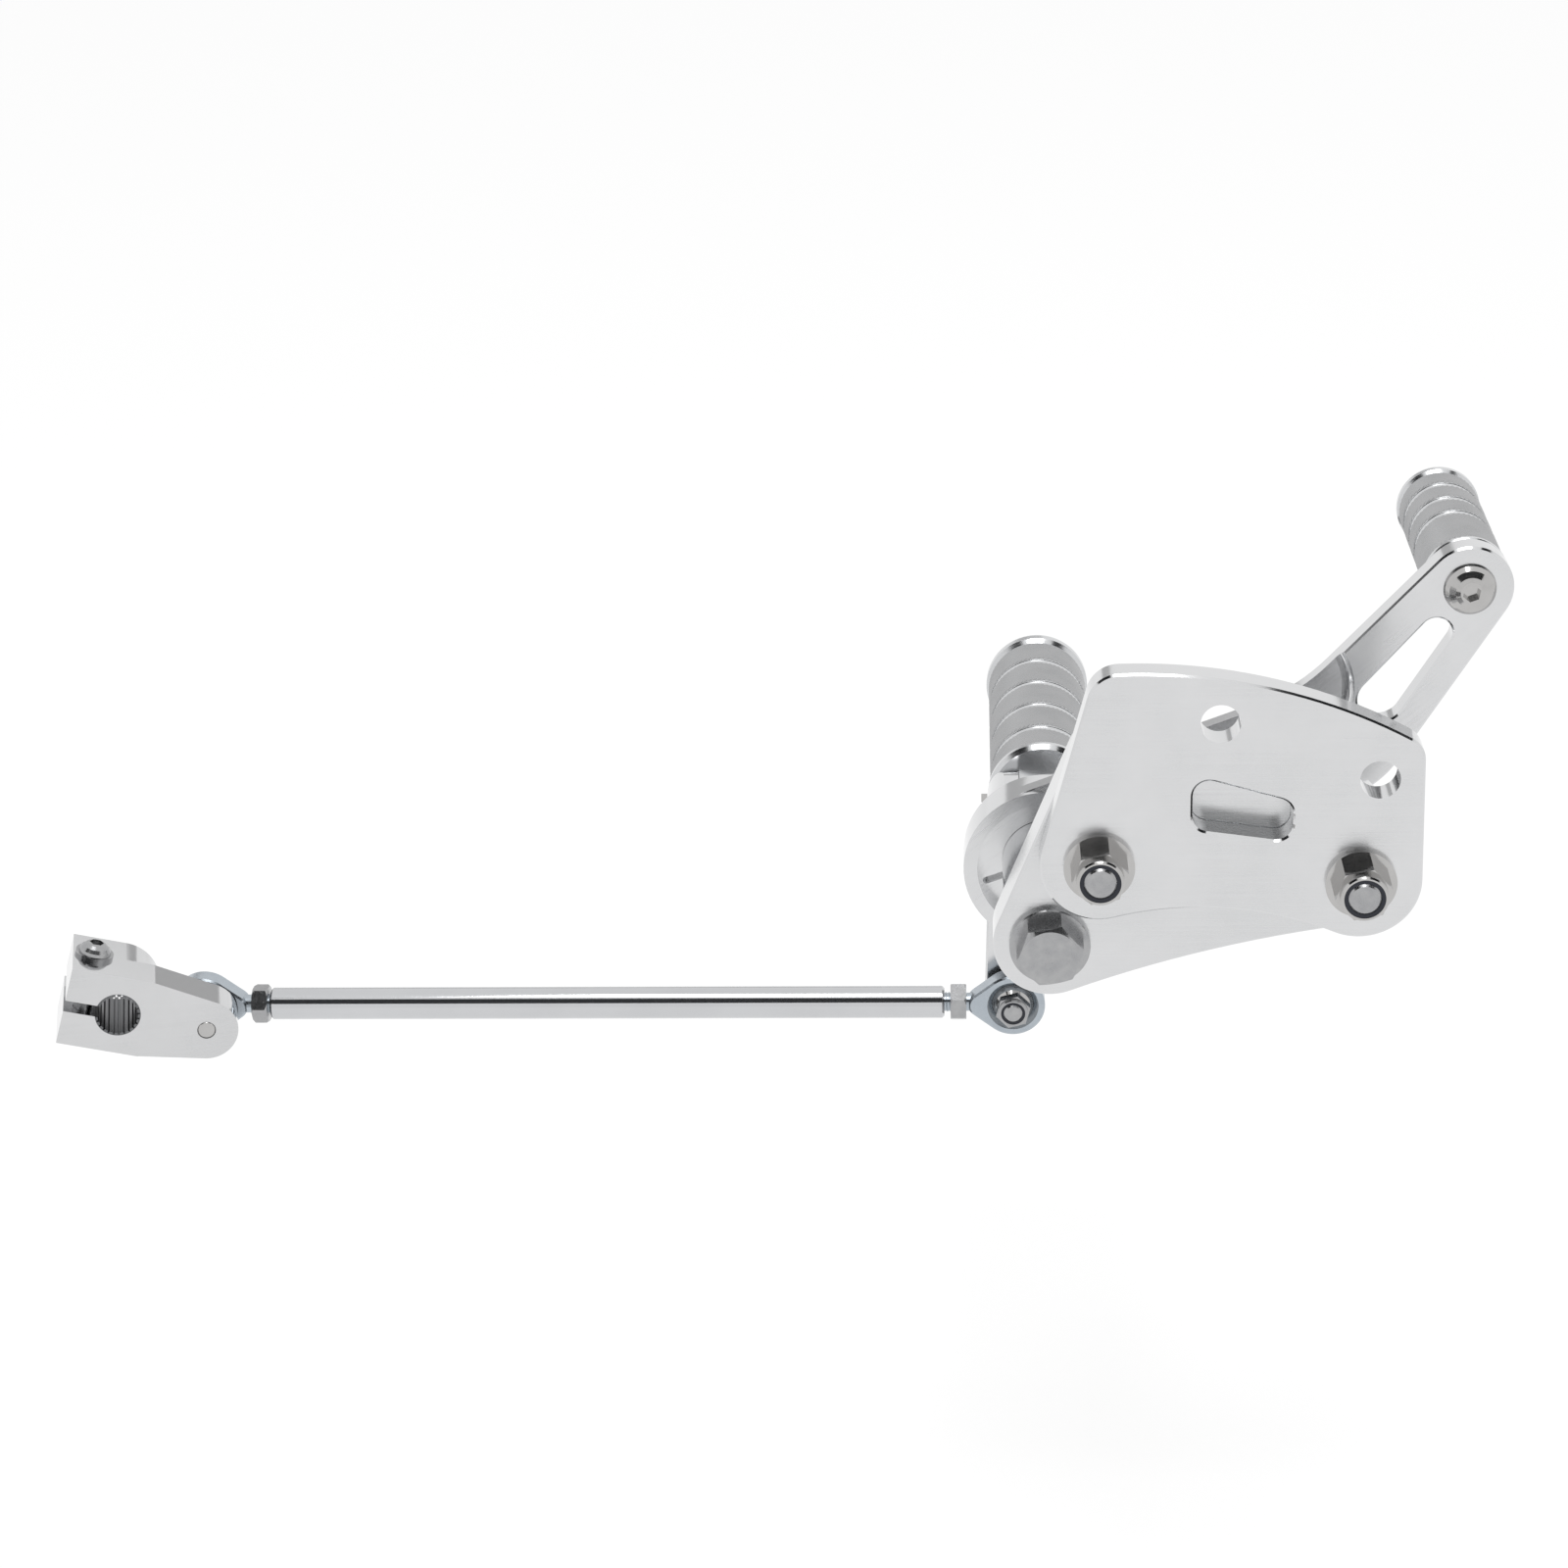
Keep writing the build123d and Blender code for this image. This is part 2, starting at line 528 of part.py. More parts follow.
def foot_peg():
    """Clevis mount, folding foot peg, fold pin and its retaining clip."""
    across = 2 * (MOUNT_R + CUT_PAST)
    pin_axis = Pos(PIVOT[0], FOLD_Y, PIVOT[1]) * Rot(0, 90, 0)
    mount = disc(PIVOT, MOUNT_FLANGE_R, MOUNT_FACE, MOUNT_FLANGE_BACK)
    mount = chamfer(mount.faces().sort_by(Axis.Y)[-1].edges(), MOUNT_CHAMFER)
    ears = disc(PIVOT, MOUNT_R, MOUNT_FLANGE_BACK, COLLAR_Y)
    back = Pos(PIVOT[0], (MOUNT_FLANGE_BACK + FOLD_Y) / 2, PIVOT[1])
    keep = back * Box(across, FOLD_Y - MOUNT_FLANGE_BACK, 2 * EAR_HALF_H)
    stop = Pos(PIVOT[0], FOLD_Y + COLLAR_FROM_PIN / 2, PIVOT[1] - EAR_HALF_H / 2)
    keep += pin_axis * Cylinder(EAR_HALF_H, across) + stop * Box(across, COLLAR_FROM_PIN, EAR_HALF_H)
    ears &= keep
    gap_l = COLLAR_Y - MOUNT_FLANGE_BACK + CUT_PAST
    ears -= Pos(PIVOT[0], MOUNT_FLANGE_BACK + gap_l / 2, PIVOT[1]) * Box(EAR_GAP, gap_l, across)
    ears -= pin_axis * Cylinder(FOLD_PIN_R, across)
    PARTS["peg_mount"] = [mount + ears - disc(PIVOT, PIVOT_BOLT_D / 2, MOUNT_FACE, MOUNT_FLANGE_BACK)]

    peg = peg_body(
        FOOT_PEG_L, FOOT_PEG_R, FOOT_PEG_END_R, FOOT_PEG_FLANGE_T, FOOT_GROOVE_COUNT, FOOT_GROOVE_PITCH
    )
    peg = Pos(PIVOT[0], COLLAR_Y, PIVOT[1]) * peg
    tongue_w = EAR_GAP - 2 * TONGUE_CLEARANCE
    tongue_r = EAR_HALF_H - TONGUE_DROP
    middle = Pos(PIVOT[0], COLLAR_Y - COLLAR_FROM_PIN / 2, PIVOT[1])
    peg += middle * Box(tongue_w, COLLAR_FROM_PIN, 2 * tongue_r) + pin_axis * Cylinder(tongue_r, tongue_w)
    PARTS["foot_peg"] = [peg - pin_axis * Cylinder(FOLD_PIN_R + RUNNING_CLEARANCE, across)]

    groove_r = FOLD_PIN_R - CLIP_GROOVE_DEPTH
    pin_l = 2 * MOUNT_R + CLIP_T + FOLD_PIN_TIP
    pin = Pos(0, 0, pin_l / 2 - MOUNT_R) * Cylinder(FOLD_PIN_R, pin_l)
    pin += Pos(0, 0, -MOUNT_R - FOLD_PIN_HEAD_T / 2) * Cylinder(FOLD_PIN_HEAD_R, FOLD_PIN_HEAD_T)
    clip_place = Pos(0, 0, MOUNT_R + CLIP_T / 2)
    pin -= clip_place * (Cylinder(FOLD_PIN_R + CUT_PAST, CLIP_T) - Cylinder(groove_r, CLIP_T))
    PARTS["fold_pin"] = [pin_axis * pin]
    clip = Cylinder(CLIP_R, CLIP_T) - Cylinder(groove_r, CLIP_T)
    clip -= Pos(0, -CLIP_R, 0) * Box(CLIP_MOUTH, 2 * CLIP_R, CLIP_T)
    PARTS["fold_pin_clip"] = [pin_axis * (clip_place * clip)]


def rod_eye(eye_x, toward):
    """Rod end housing whose eye lies at eye_x and whose shank points along toward (+1 or -1)."""
    centre = (eye_x, ROD_BOLT[1])
    near = ROD_PLANE - EYE_W / 2
    far = ROD_PLANE + EYE_W / 2
    neck_x = eye_x + toward * EYE_NECK
    eye = slab(hull([(centre, EYE_R), ((neck_x - toward * EYE_NECK_R, centre[1]), EYE_NECK_R)]), near, far)
    eye = break_edges(eye, EYE_CHAMFER)
    reach = ROD_END_TO_EYE + THREAD_IN_ROD
    shank = Pos(eye_x + toward * (reach + EYE_R) / 2, ROD_PLANE, centre[1]) * Rot(0, 90, 0)
    eye += shank * Cylinder(THREAD_R, reach - EYE_R)
    eye -= turned(ball_zone(BALL_R + BALL_CLEARANCE, EYE_W / 2), centre, near)
    eye -= turned([(0, EYE_MOUTH_R), (EYE_W / 2, EYE_THROAT_R)], centre, near)
    return eye - turned([(0, EYE_THROAT_R), (EYE_W / 2, EYE_MOUTH_R)], centre, ROD_PLANE)


def ball(eye_x):
    """Pivot ball of a rod end, with flats and a bore."""
    centre = (eye_x, ROD_BOLT[1])
    near = ROD_PLANE - BALL_W / 2
    solid = turned(ball_zone(BALL_R, BALL_W / 2), centre, near)
    return solid - disc(centre, BALL_BORE_R, near, near + BALL_W)


def shift_rod():
    """Polished rod, its jam nuts, the two rod ends and the ball of the front one."""
    middle = Pos(ROD_REAR + ROD_L / 2, ROD_PLANE, ROD_BOLT[1]) * Rot(0, 90, 0)
    rod = chamfer(Cylinder(ROD_R, ROD_L).edges(), THREAD_CHAMFER)
    for end in (-1, 1):
        rod -= Pos(0, 0, end * (ROD_L - THREAD_IN_ROD) / 2) * Cylinder(THREAD_R, THREAD_IN_ROD)
    PARTS["shift_rod"] = [middle * rod]
    hexagon_face = RegularPolygon(radius=JAM_NUT_AF / 2, side_count=6, major_radius=False)
    blank = extrude(hexagon_face, amount=JAM_NUT_T / 2, both=True)
    corner_r = JAM_NUT_AF / math.sqrt(3)
    cone = chamfer(Cylinder(corner_r, JAM_NUT_T).edges().filter_by(GeomType.CIRCLE), THREAD_CHAMFER)
    nut = (blank & cone) - Cylinder(THREAD_R, JAM_NUT_T)
    front_x = ROD_REAR + ROD_L + FRONT_JAM_GAP + JAM_NUT_T / 2
    rear_x = ROD_REAR - REAR_JAM_GAP - JAM_NUT_T / 2
    rear_place = Pos(rear_x, ROD_PLANE, ROD_BOLT[1]) * Rot(0, 90, 0) * Rot(0, 0, REAR_JAM_TURN)
    PARTS["front_jam_nut"] = [Pos(front_x, ROD_PLANE, ROD_BOLT[1]) * Rot(0, 90, 0) * nut]
    PARTS["rear_jam_nut"] = [rear_place * nut]
    PARTS["front_rod_end"] = [rod_eye(ROD_BOLT[0], -1)]
    PARTS["front_ball"] = [ball(ROD_BOLT[0])]
    PARTS["rear_rod_end"] = [rod_eye(REAR_EYE_X, 1)]


def rod_bolt():
    """Small bolt, spacer collar, lock nut and nylon ring that carry the front ball on the lever."""
    ball_near = ROD_PLANE - BALL_W / 2
    ball_far = ROD_PLANE + BALL_W / 2
    nut_near = ball_near - SMALL_NUT_H
    PARTS["rod_bolt_collar"] = [
        disc(ROD_BOLT, ARM_BOSS_R, ball_far, HUB_FRONT) - disc(ROD_BOLT, ROD_BOLT_R, ball_far, HUB_FRONT)
    ]
    bolt = disc(ROD_BOLT, ROD_BOLT_R, nut_near - BOLT_END_PROUD, LEVER_BACK)
    bolt = chamfer(bolt.faces().sort_by(Axis.Y)[0].edges(), SMALL_CHAMFER)
    head = button_head(ROD_BOLT, CLAMP_HEAD_R, CLAMP_HEAD_H, LEVER_BACK, 1)
    head_top = LEVER_BACK + CLAMP_HEAD_H
    head -= hexagon(ROD_BOLT, CLAMP_SOCKET_AF, head_top - CLAMP_SOCKET_DEPTH, head_top)
    PARTS["rod_bolt"] = [bolt + head]
    nut = hexagon(ROD_BOLT, SMALL_NUT_AF, nut_near + SMALL_NUT_CROWN_H, ball_near, turn=SMALL_NUT_TURN)
    crown = [
        (0, SMALL_INSERT_R + SMALL_CROWN_LIP),
        (SMALL_CROWN_LIP, SMALL_NUT_CROWN_R),
        (SMALL_NUT_CROWN_H + SMALL_CROWN_LIP, SMALL_NUT_CROWN_R),
    ]
    nut += turned(crown, ROD_BOLT, nut_near)
    nut -= disc(ROD_BOLT, ROD_BOLT_R, nut_near, ball_near)
    nut -= disc(ROD_BOLT, SMALL_INSERT_R, nut_near, nut_near + SMALL_INSERT_H)
    PARTS["rod_bolt_nut"] = [nut]
    ring = disc(ROD_BOLT, SMALL_INSERT_R, nut_near + INSERT_INSET, nut_near + SMALL_INSERT_H)
    PARTS["rod_bolt_nut_insert"] = [ring - disc(ROD_BOLT, ROD_BOLT_R, nut_near, nut_near + SMALL_INSERT_H)]


def spline_bore():
    """Round bore with straight spline grooves cut into its wall, drawn about its own centre."""
    pitch = 2 * math.pi * SPLINE_BORE_R / SPLINE_TEETH
    inner = SPLINE_BORE_R - SPLINE_DEPTH
    outer = SPLINE_BORE_R + SPLINE_DEPTH
    mouth = pitch * SPLINE_MOUTH_SHARE / 2
    root = pitch * SPLINE_ROOT_SHARE / 2
    groove = make_face(Polyline((inner, -mouth), (outer, -root), (outer, root), (inner, mouth), close=True))
    grooves = [Rot(0, 0, 360 * index / SPLINE_TEETH) * groove for index in range(SPLINE_TEETH)]
    return Circle(SPLINE_BORE_R) + grooves


def shift_arm():
    """Splined clamp arm on the rear rod end, built about the ball and then leaned into place."""
    cheek_back = -BALL_W / 2 - ARM_BOSS_H
    front = cheek_back - ARM_CHEEK_T
    boss_back = -BALL_W / 2
    clamp_back = front + ARM_CLAMP_T
    bore = (-ARM_LENGTH, 0)
    end_x = -ARM_TAIL - ARM_LENGTH
    block = Pos((end_x - ARM_LENGTH) / 2, 0) * Rectangle(ARM_TAIL, 2 * ARM_HALF_H)
    clamp = block + Pos(*bore) * Circle(ARM_HALF_H)
    shoulder = -ARM_LENGTH + ARM_SHOULDER_BACK
    corner_x = shoulder - ARM_CORNER_R
    corner_y = ARM_HALF_H - ARM_CORNER_R
    corners = [((corner_x, corner_y), ARM_CORNER_R), ((corner_x, -corner_y), ARM_CORNER_R)]
    cheek = hull([((0, 0), ARM_END_R)] + corners)
    cheek += Pos((shoulder + end_x) / 2, 0) * Rectangle(shoulder - end_x, 2 * ARM_HALF_H)
    body = slab(clamp, front, clamp_back) + slab(cheek, front, cheek_back)
    body += disc((0, 0), ARM_BOSS_R, front, boss_back)
    body -= slab(Pos(*bore) * spline_bore(), front, clamp_back)
    slit = Pos((end_x - ARM_LENGTH - CUT_PAST) / 2, 0) * Rectangle(ARM_TAIL + CUT_PAST, CLAMP_SLIT)
    body -= slab(slit, front, clamp_back)
    body -= disc((0, 0), ROD_BOLT_R, front, boss_back)
    screw_x = -ARM_LENGTH - CLAMP_SCREW_BACK
    screw_y = (front + clamp_back) / 2
    seat = ARM_HALF_H
    tip = CLAMP_HOLE_FLOOR - ARM_HALF_H
    hole_r = CLAMP_SCREW_D / 2 + HOLE_CLEARANCE
    body -= Pos(screw_x, screw_y, (seat + tip) / 2) * Cylinder(hole_r, seat - tip)
    pin_head = BALL_W / 2 + ARM_PIN_LIP
    pin = disc((0, 0), ROD_BOLT_R, front, boss_back)
    pin += disc((0, 0), BALL_BORE_R - RUNNING_CLEARANCE, boss_back, pin_head)
    pin += disc((0, 0), ARM_PIN_HEAD_R, pin_head, pin_head + ARM_PIN_HEAD_T)
    pin = chamfer(pin.faces().sort_by(Axis.Y)[0].edges(), SMALL_CHAMFER)
    washer = Cylinder(CLAMP_WASHER_R, CLAMP_WASHER_T) - Cylinder(hole_r, CLAMP_WASHER_T)
    washer = Pos(screw_x, screw_y, seat + CLAMP_WASHER_T / 2) * washer
    head_base = seat + CLAMP_WASHER_T
    head = button_head((0, 0), CLAMP_HEAD_R, CLAMP_HEAD_H, 0, 1)
    head -= hexagon((0, 0), CLAMP_SOCKET_AF, CLAMP_HEAD_H - CLAMP_SOCKET_DEPTH, CLAMP_HEAD_H)
    head = Pos(screw_x, screw_y, head_base) * Rot(90, 0, 0) * head
    head += Pos(screw_x, screw_y, (head_base + tip) / 2) * Cylinder(CLAMP_SCREW_D / 2, head_base - tip)
    place = Pos(REAR_EYE_X, ROD_PLANE, ROD_BOLT[1]) * Rot(0, 0, ARM_TILT) * Rot(0, ARM_SLOPE, 0)
    PARTS["shift_arm"] = [place * body]
    PARTS["arm_pin"] = [place * pin]
    PARTS["clamp_screw_washer"] = [place * washer]
    PARTS["clamp_screw"] = [place * head]
    level = Pos(-REAR_EYE_X, -ROD_PLANE, -ROD_BOLT[1])
    PARTS["rear_ball"] = [place * (level * ball(REAR_EYE_X))]


def build():
    """Model every piece and write one file for each node."""
    PARTS["frame_plate"] = [frame_plate()]
    PARTS["control_plate"] = [control_plate()]
    plate_fasteners()
    pivot_parts()
    shift_lever()
    toe_peg()
    foot_peg()
    shift_rod()
    rod_bolt()
    shift_arm()
    for name, pieces in PARTS.items():
        solids = [solid for piece in pieces for solid in piece.solids()]
        shape = solids[0] if len(solids) == 1 else Compound(children=solids)
        export_step(shape, f"parts/{name}.step")
        print(name, len(solids), [round(solid.volume, 1) for solid in solids])


build()
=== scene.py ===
"""Looks for the shift side forward control: finishes, knurled grips, threads, studio and camera."""

import logging
import math
from dataclasses import dataclass
from enum import Enum

import bmesh
import bpy
from mathutils import Matrix, Vector


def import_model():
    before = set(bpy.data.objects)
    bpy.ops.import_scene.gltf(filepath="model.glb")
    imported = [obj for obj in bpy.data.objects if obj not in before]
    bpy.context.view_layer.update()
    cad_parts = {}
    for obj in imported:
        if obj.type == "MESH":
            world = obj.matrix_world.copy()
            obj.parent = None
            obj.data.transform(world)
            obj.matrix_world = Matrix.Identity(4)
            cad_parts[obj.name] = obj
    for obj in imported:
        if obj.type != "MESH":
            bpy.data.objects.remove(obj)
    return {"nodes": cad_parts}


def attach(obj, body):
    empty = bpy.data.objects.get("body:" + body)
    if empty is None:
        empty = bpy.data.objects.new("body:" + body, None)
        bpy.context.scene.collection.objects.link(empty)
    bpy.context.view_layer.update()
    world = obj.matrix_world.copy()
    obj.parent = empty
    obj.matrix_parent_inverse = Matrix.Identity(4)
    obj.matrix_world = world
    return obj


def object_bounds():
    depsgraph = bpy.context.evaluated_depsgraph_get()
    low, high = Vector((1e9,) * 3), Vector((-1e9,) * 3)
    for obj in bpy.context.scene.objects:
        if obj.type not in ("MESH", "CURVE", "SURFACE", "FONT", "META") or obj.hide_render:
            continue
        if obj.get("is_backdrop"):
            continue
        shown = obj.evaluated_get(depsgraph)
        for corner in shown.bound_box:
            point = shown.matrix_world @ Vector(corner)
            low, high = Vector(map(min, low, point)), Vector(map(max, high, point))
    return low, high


log = logging.getLogger("forward_control")
MM = 0.001
FULL_TURN = 2 * math.pi
WHITE = "#FFFFFF"
# A face counts as belt polished where the Y part of its normal is larger than this.
FACE_LIMIT = 0.9
# Marks times patches lie between these two, which are spread over a finish's roughness range.
MARK_RANGE = (0.12, 0.42)
# Points of a spun ring that lie closer together than this are one.
MERGE_MM = 0.001
# A point of a knurled sleeve that is no further than this outside its seat belongs to the seat.
SEAT_MARGIN_MM = 0.1
IMAGE_WIDTH_PX = 1600


def linear_colour(hex_code: str) -> tuple[float, float, float, float]:
    """Turn an sRGB hex colour into the linear RGBA that Blender's sockets take.

    Args:
        hex_code: Colour written as "#RRGGBB".

    Returns:
        Linear red, green, blue and an alpha of one.
    """
    channels = []
    for start in (1, 3, 5):
        value = int(hex_code[start : start + 2], 16) / 255
        channels.append(value / 12.92 if value <= 0.04045 else ((value + 0.055) / 1.055) ** 2.4)
    return (channels[0], channels[1], channels[2], 1.0)


def add_node(
    tree: bpy.types.NodeTree, kind: str, inputs: dict | None = None, **settings: object
) -> bpy.types.Node:
    """Add one node with its settings and links.

    Args:
        tree: Node tree that receives the node.
        kind: Blender's node type name.
        inputs: Socket name or number to a value, or to the output socket that feeds it.
        settings: Attributes of the node itself.

    Returns:
        The new node.
    """
    node = tree.nodes.new(kind)
    for name, value in settings.items():
        setattr(node, name, value)
    for socket, value in (inputs or {}).items():
        if isinstance(value, bpy.types.NodeSocket):
            tree.links.new(value, node.inputs[socket])
        else:
            node.inputs[socket].default_value = value
    return node


def new_material(name: str) -> tuple[bpy.types.Material, bpy.types.NodeTree]:
    """Start a node material.

    Args:
        name: Its name.

    Returns:
        The material and its empty node tree.
    """
    material = bpy.data.materials.new(name)
    material.use_nodes = True
    material.node_tree.nodes.clear()
    return material, material.node_tree


def linked_object(name: str, shape: bmesh.types.BMesh) -> bpy.types.Object:
    """Turn a finished bmesh into an object of the scene.

    Args:
        name: Name of the object and of its mesh.
        shape: The mesh, already in place, in metres. It is freed.

    Returns:
        The new object, at the origin.
    """
    mesh = bpy.data.meshes.new(name)
    shape.to_mesh(mesh)
    shape.free()
    made = bpy.data.objects.new(name, mesh)
    bpy.context.scene.collection.objects.link(made)
    return made


class Grain(Enum):
    """How the marks of a surface run: the stretch of its pattern along X, Y and Z."""

    ALONG_X = (0.012, 1.0, 1.0)
    ALONG_ARM = (0.015, 1.0, 1.0)
    LATHE_Y = (0.03, 1.0, 0.03)
    LATHE_X = (1.0, 0.03, 0.03)
    EVEN = (1.0, 1.0, 1.0)


@dataclass(frozen=True)
class DullBore:
    """A broached bore that the polishing belt does not reach: rough cut metal whose colour is darkened
    with painted shade.

    Attributes:
        mouth_mm: A point on the bore's axis.
        axis: Direction of the axis.
        radius_mm: Radius inside which the surface stays dull.
        colour: sRGB hex painted in the bore: the cut metal darkened by painted shade.
        roughness: Roughness of the cut metal.
    """

    mouth_mm: tuple[float, float, float]
    axis: tuple[float, float, float]
    radius_mm: float
    colour: str
    roughness: float

    def mask(self, tree: bpy.types.NodeTree, place: bpy.types.NodeSocket) -> bpy.types.NodeSocket:
        """Tell the bore from the rest of the piece by the distance from its axis.

        Args:
            tree: The material's node tree.
            place: Socket with the object coordinates.

        Returns:
            Socket that is one inside the bore and nought elsewhere.
        """
        mouth = tuple(value * MM for value in self.mouth_mm)
        offset = add_node(tree, "ShaderNodeVectorMath", {0: place, 1: mouth}, operation="SUBTRACT")
        swept = add_node(
            tree,
            "ShaderNodeVectorMath",
            {0: offset.outputs["Vector"], 1: self.axis},
            operation="CROSS_PRODUCT",
        )
        away = add_node(tree, "ShaderNodeVectorMath", {0: swept.outputs["Vector"]}, operation="LENGTH")
        inside = add_node(
            tree,
            "ShaderNodeMath",
            {0: away.outputs["Value"], 1: self.radius_mm * MM},
            operation="LESS_THAN",
        )
        return inside.outputs["Value"]


@dataclass(frozen=True)
class MetalFinish:
    """A metal surface: colour, gloss, and the marks that its making left.

    Attributes:
        name: Material name.
        colour: sRGB hex of the bare metal.
        shade: sRGB hex that the colour drifts to in patches.
        roughness: Lowest and highest roughness over the surface.
        mark_mm: Spacing of the machining marks or grit, drawn coarser than the real 0.1 mm or so, so
            that it shows.
        mark_depth_mm: Height of those marks.
        patch_mm: Size of the patches of colour.
        grain: Direction of the marks.
        turn_deg: Turn of the marks about Y and about Z, for grain along a sloping or a skewed arm.
        edge_roughness: Roughness of the milled edges round a plate's two faces, where they differ.
        bore: A bore that stays dull, with painted shade darkening its colour, where the piece has one.
    """

    name: str
    colour: str
    shade: str
    roughness: tuple[float, float]
    mark_mm: float
    mark_depth_mm: float
    patch_mm: float
    grain: Grain = Grain.EVEN
    turn_deg: tuple[float, float] = (0.0, 0.0)
    edge_roughness: float | None = None
    bore: DullBore | None = None

    def material(self) -> bpy.types.Material:
        """Build the node material, or find it where it is built already.

        Returns:
            The material.
        """
        made = bpy.data.materials.get(self.name)
        if made:
            return made
        made, tree = new_material(self.name)
        place = add_node(tree, "ShaderNodeTexCoord").outputs["Object"]
        turn = (0.0, math.radians(self.turn_deg[0]), math.radians(self.turn_deg[1]))
        turned = add_node(tree, "ShaderNodeMapping", {"Vector": place, "Rotation": turn})
        stretched = add_node(
            tree, "ShaderNodeMapping", {"Vector": turned.outputs["Vector"], "Scale": self.grain.value}
        )
        marks = add_node(
            tree,
            "ShaderNodeTexNoise",
            {"Vector": stretched.outputs["Vector"], "Scale": 1 / (self.mark_mm * MM), "Detail": 3.0},
        )
        patches = add_node(
            tree,
            "ShaderNodeTexNoise",
            {"Vector": place, "Scale": 1 / (self.patch_mm * MM), "Detail": 4.0, "Roughness": 0.6},
        )
        colours = {
            "Factor": patches.outputs["Fac"],
            6: linear_colour(self.colour),
            7: linear_colour(self.shade),
        }
        tint = add_node(tree, "ShaderNodeMix", colours, data_type="RGBA").outputs[2]
        blended = add_node(
            tree,
            "ShaderNodeMath",
            {0: marks.outputs["Fac"], 1: patches.outputs["Fac"]},
            operation="MULTIPLY",
        )
        gloss = add_node(
            tree,
            "ShaderNodeMapRange",
            {
                "Value": blended.outputs["Value"],
                "From Min": MARK_RANGE[0],
                "From Max": MARK_RANGE[1],
                "To Min": self.roughness[0],
                "To Max": self.roughness[1],
            },
        )
        bump = add_node(
            tree,
            "ShaderNodeBump",
            {"Height": marks.outputs["Fac"], "Distance": self.mark_depth_mm * MM, "Strength": 1.0},
        )
        roughness = gloss.outputs["Result"]
        if self.edge_roughness is not None:
            roughness = self.sharper_edges(tree, roughness)
        # Inside the bore the colour turns to a painted shade of dark grey, and the roughness turns to
        # the cut metal's.
        if self.bore is not None:
            inside = self.bore.mask(tree, place)
            dull = {0: inside, 6: tint, 7: linear_colour(self.bore.colour)}
            tint = add_node(tree, "ShaderNodeMix", dull, data_type="RGBA").outputs[2]
            rough = {0: inside, 2: roughness, 3: self.bore.roughness}
            roughness = add_node(tree, "ShaderNodeMix", rough, data_type="FLOAT").outputs[0]
        shader = add_node(
            tree,
            "ShaderNodeBsdfPrincipled",
            {
                "Base Color": tint,
                "Metallic": 1.0,
                "Roughness": roughness,
                "Normal": bump.outputs["Normal"],
            },
        )
        add_node(tree, "ShaderNodeOutputMaterial", {"Surface": shader.outputs["BSDF"]})
        return made

    def sharper_edges(
        self, tree: bpy.types.NodeTree, face: bpy.types.NodeSocket
    ) -> bpy.types.NodeSocket:
        """Keep the belt's roughness on faces that look along Y, and give the rest the edge's own.

        Args:
            tree: The material's node tree.
            face: Socket with the roughness of the belt polished faces.

        Returns:
            Socket with the roughness of the whole piece.
        """
        normal = add_node(tree, "ShaderNodeNewGeometry").outputs["True Normal"]
        along_y = add_node(tree, "ShaderNodeSeparateXYZ", {"Vector": normal}).outputs["Y"]
        lean = add_node(tree, "ShaderNodeMath", {0: along_y}, operation="ABSOLUTE").outputs["Value"]
        flat = add_node(tree, "ShaderNodeMath", {0: lean, 1: FACE_LIMIT}, operation="GREATER_THAN")
        mixed = add_node(
            tree,
            "ShaderNodeMix",
            {0: flat.outputs["Value"], 2: self.edge_roughness, 3: face},
            data_type="FLOAT",
        )
        return mixed.outputs[0]


@dataclass(frozen=True)
class MouldedFinish:
    """A moulded plastic: faint orange peel and a soft sheen.

    Attributes:
        name: Material name.
        colour: sRGB hex of the plastic.
        shade: sRGB hex that it drifts to.
        roughness: Roughness of the moulded skin.
        peel_mm: Spacing of the orange peel.
        peel_depth_mm: Height of the orange peel.
        ior: Refraction of the plastic.
    """

    name: str
    colour: str
    shade: str
    roughness: float
    peel_mm: float
    peel_depth_mm: float = 0.02
    ior: float = 1.53

    def material(self) -> bpy.types.Material:
        """Build the node material, or find it where it is built already.

        Returns:
            The material.
        """
        made = bpy.data.materials.get(self.name)
        if made:
            return made
        made, tree = new_material(self.name)
        place = add_node(tree, "ShaderNodeTexCoord").outputs["Object"]
        peel = add_node(tree, "ShaderNodeTexNoise", {"Vector": place, "Scale": 1 / (self.peel_mm * MM)})
        colours = {
            "Factor": peel.outputs["Fac"],
            6: linear_colour(self.colour),
            7: linear_colour(self.shade),
        }
        tint = add_node(tree, "ShaderNodeMix", colours, data_type="RGBA").outputs[2]
        bump = add_node(
            tree,
            "ShaderNodeBump",
            {"Height": peel.outputs["Fac"], "Distance": self.peel_depth_mm * MM, "Strength": 1.0},
        )
        shader = add_node(
            tree,
            "ShaderNodeBsdfPrincipled",
            {
                "Base Color": tint,
                "Roughness": self.roughness,
                "IOR": self.ior,
                "Normal": bump.outputs["Normal"],
            },
        )
        add_node(tree, "ShaderNodeOutputMaterial", {"Surface": shader.outputs["BSDF"]})
        return made


Finish = MetalFinish | MouldedFinish

# Billet aluminium, polished with a fine belt along the plate: near white, with a faint long grain.
BELT_POLISHED_ALUMINIUM = MetalFinish(
    name="belt_polished_aluminium",
    colour="#DADADB",
    shade="#D0D1D2",
    roughness=(0.18, 0.32),
    mark_mm=0.5,
    mark_depth_mm=0.003,
    patch_mm=30.0,
    grain=Grain.ALONG_X,
    edge_roughness=0.10,
)
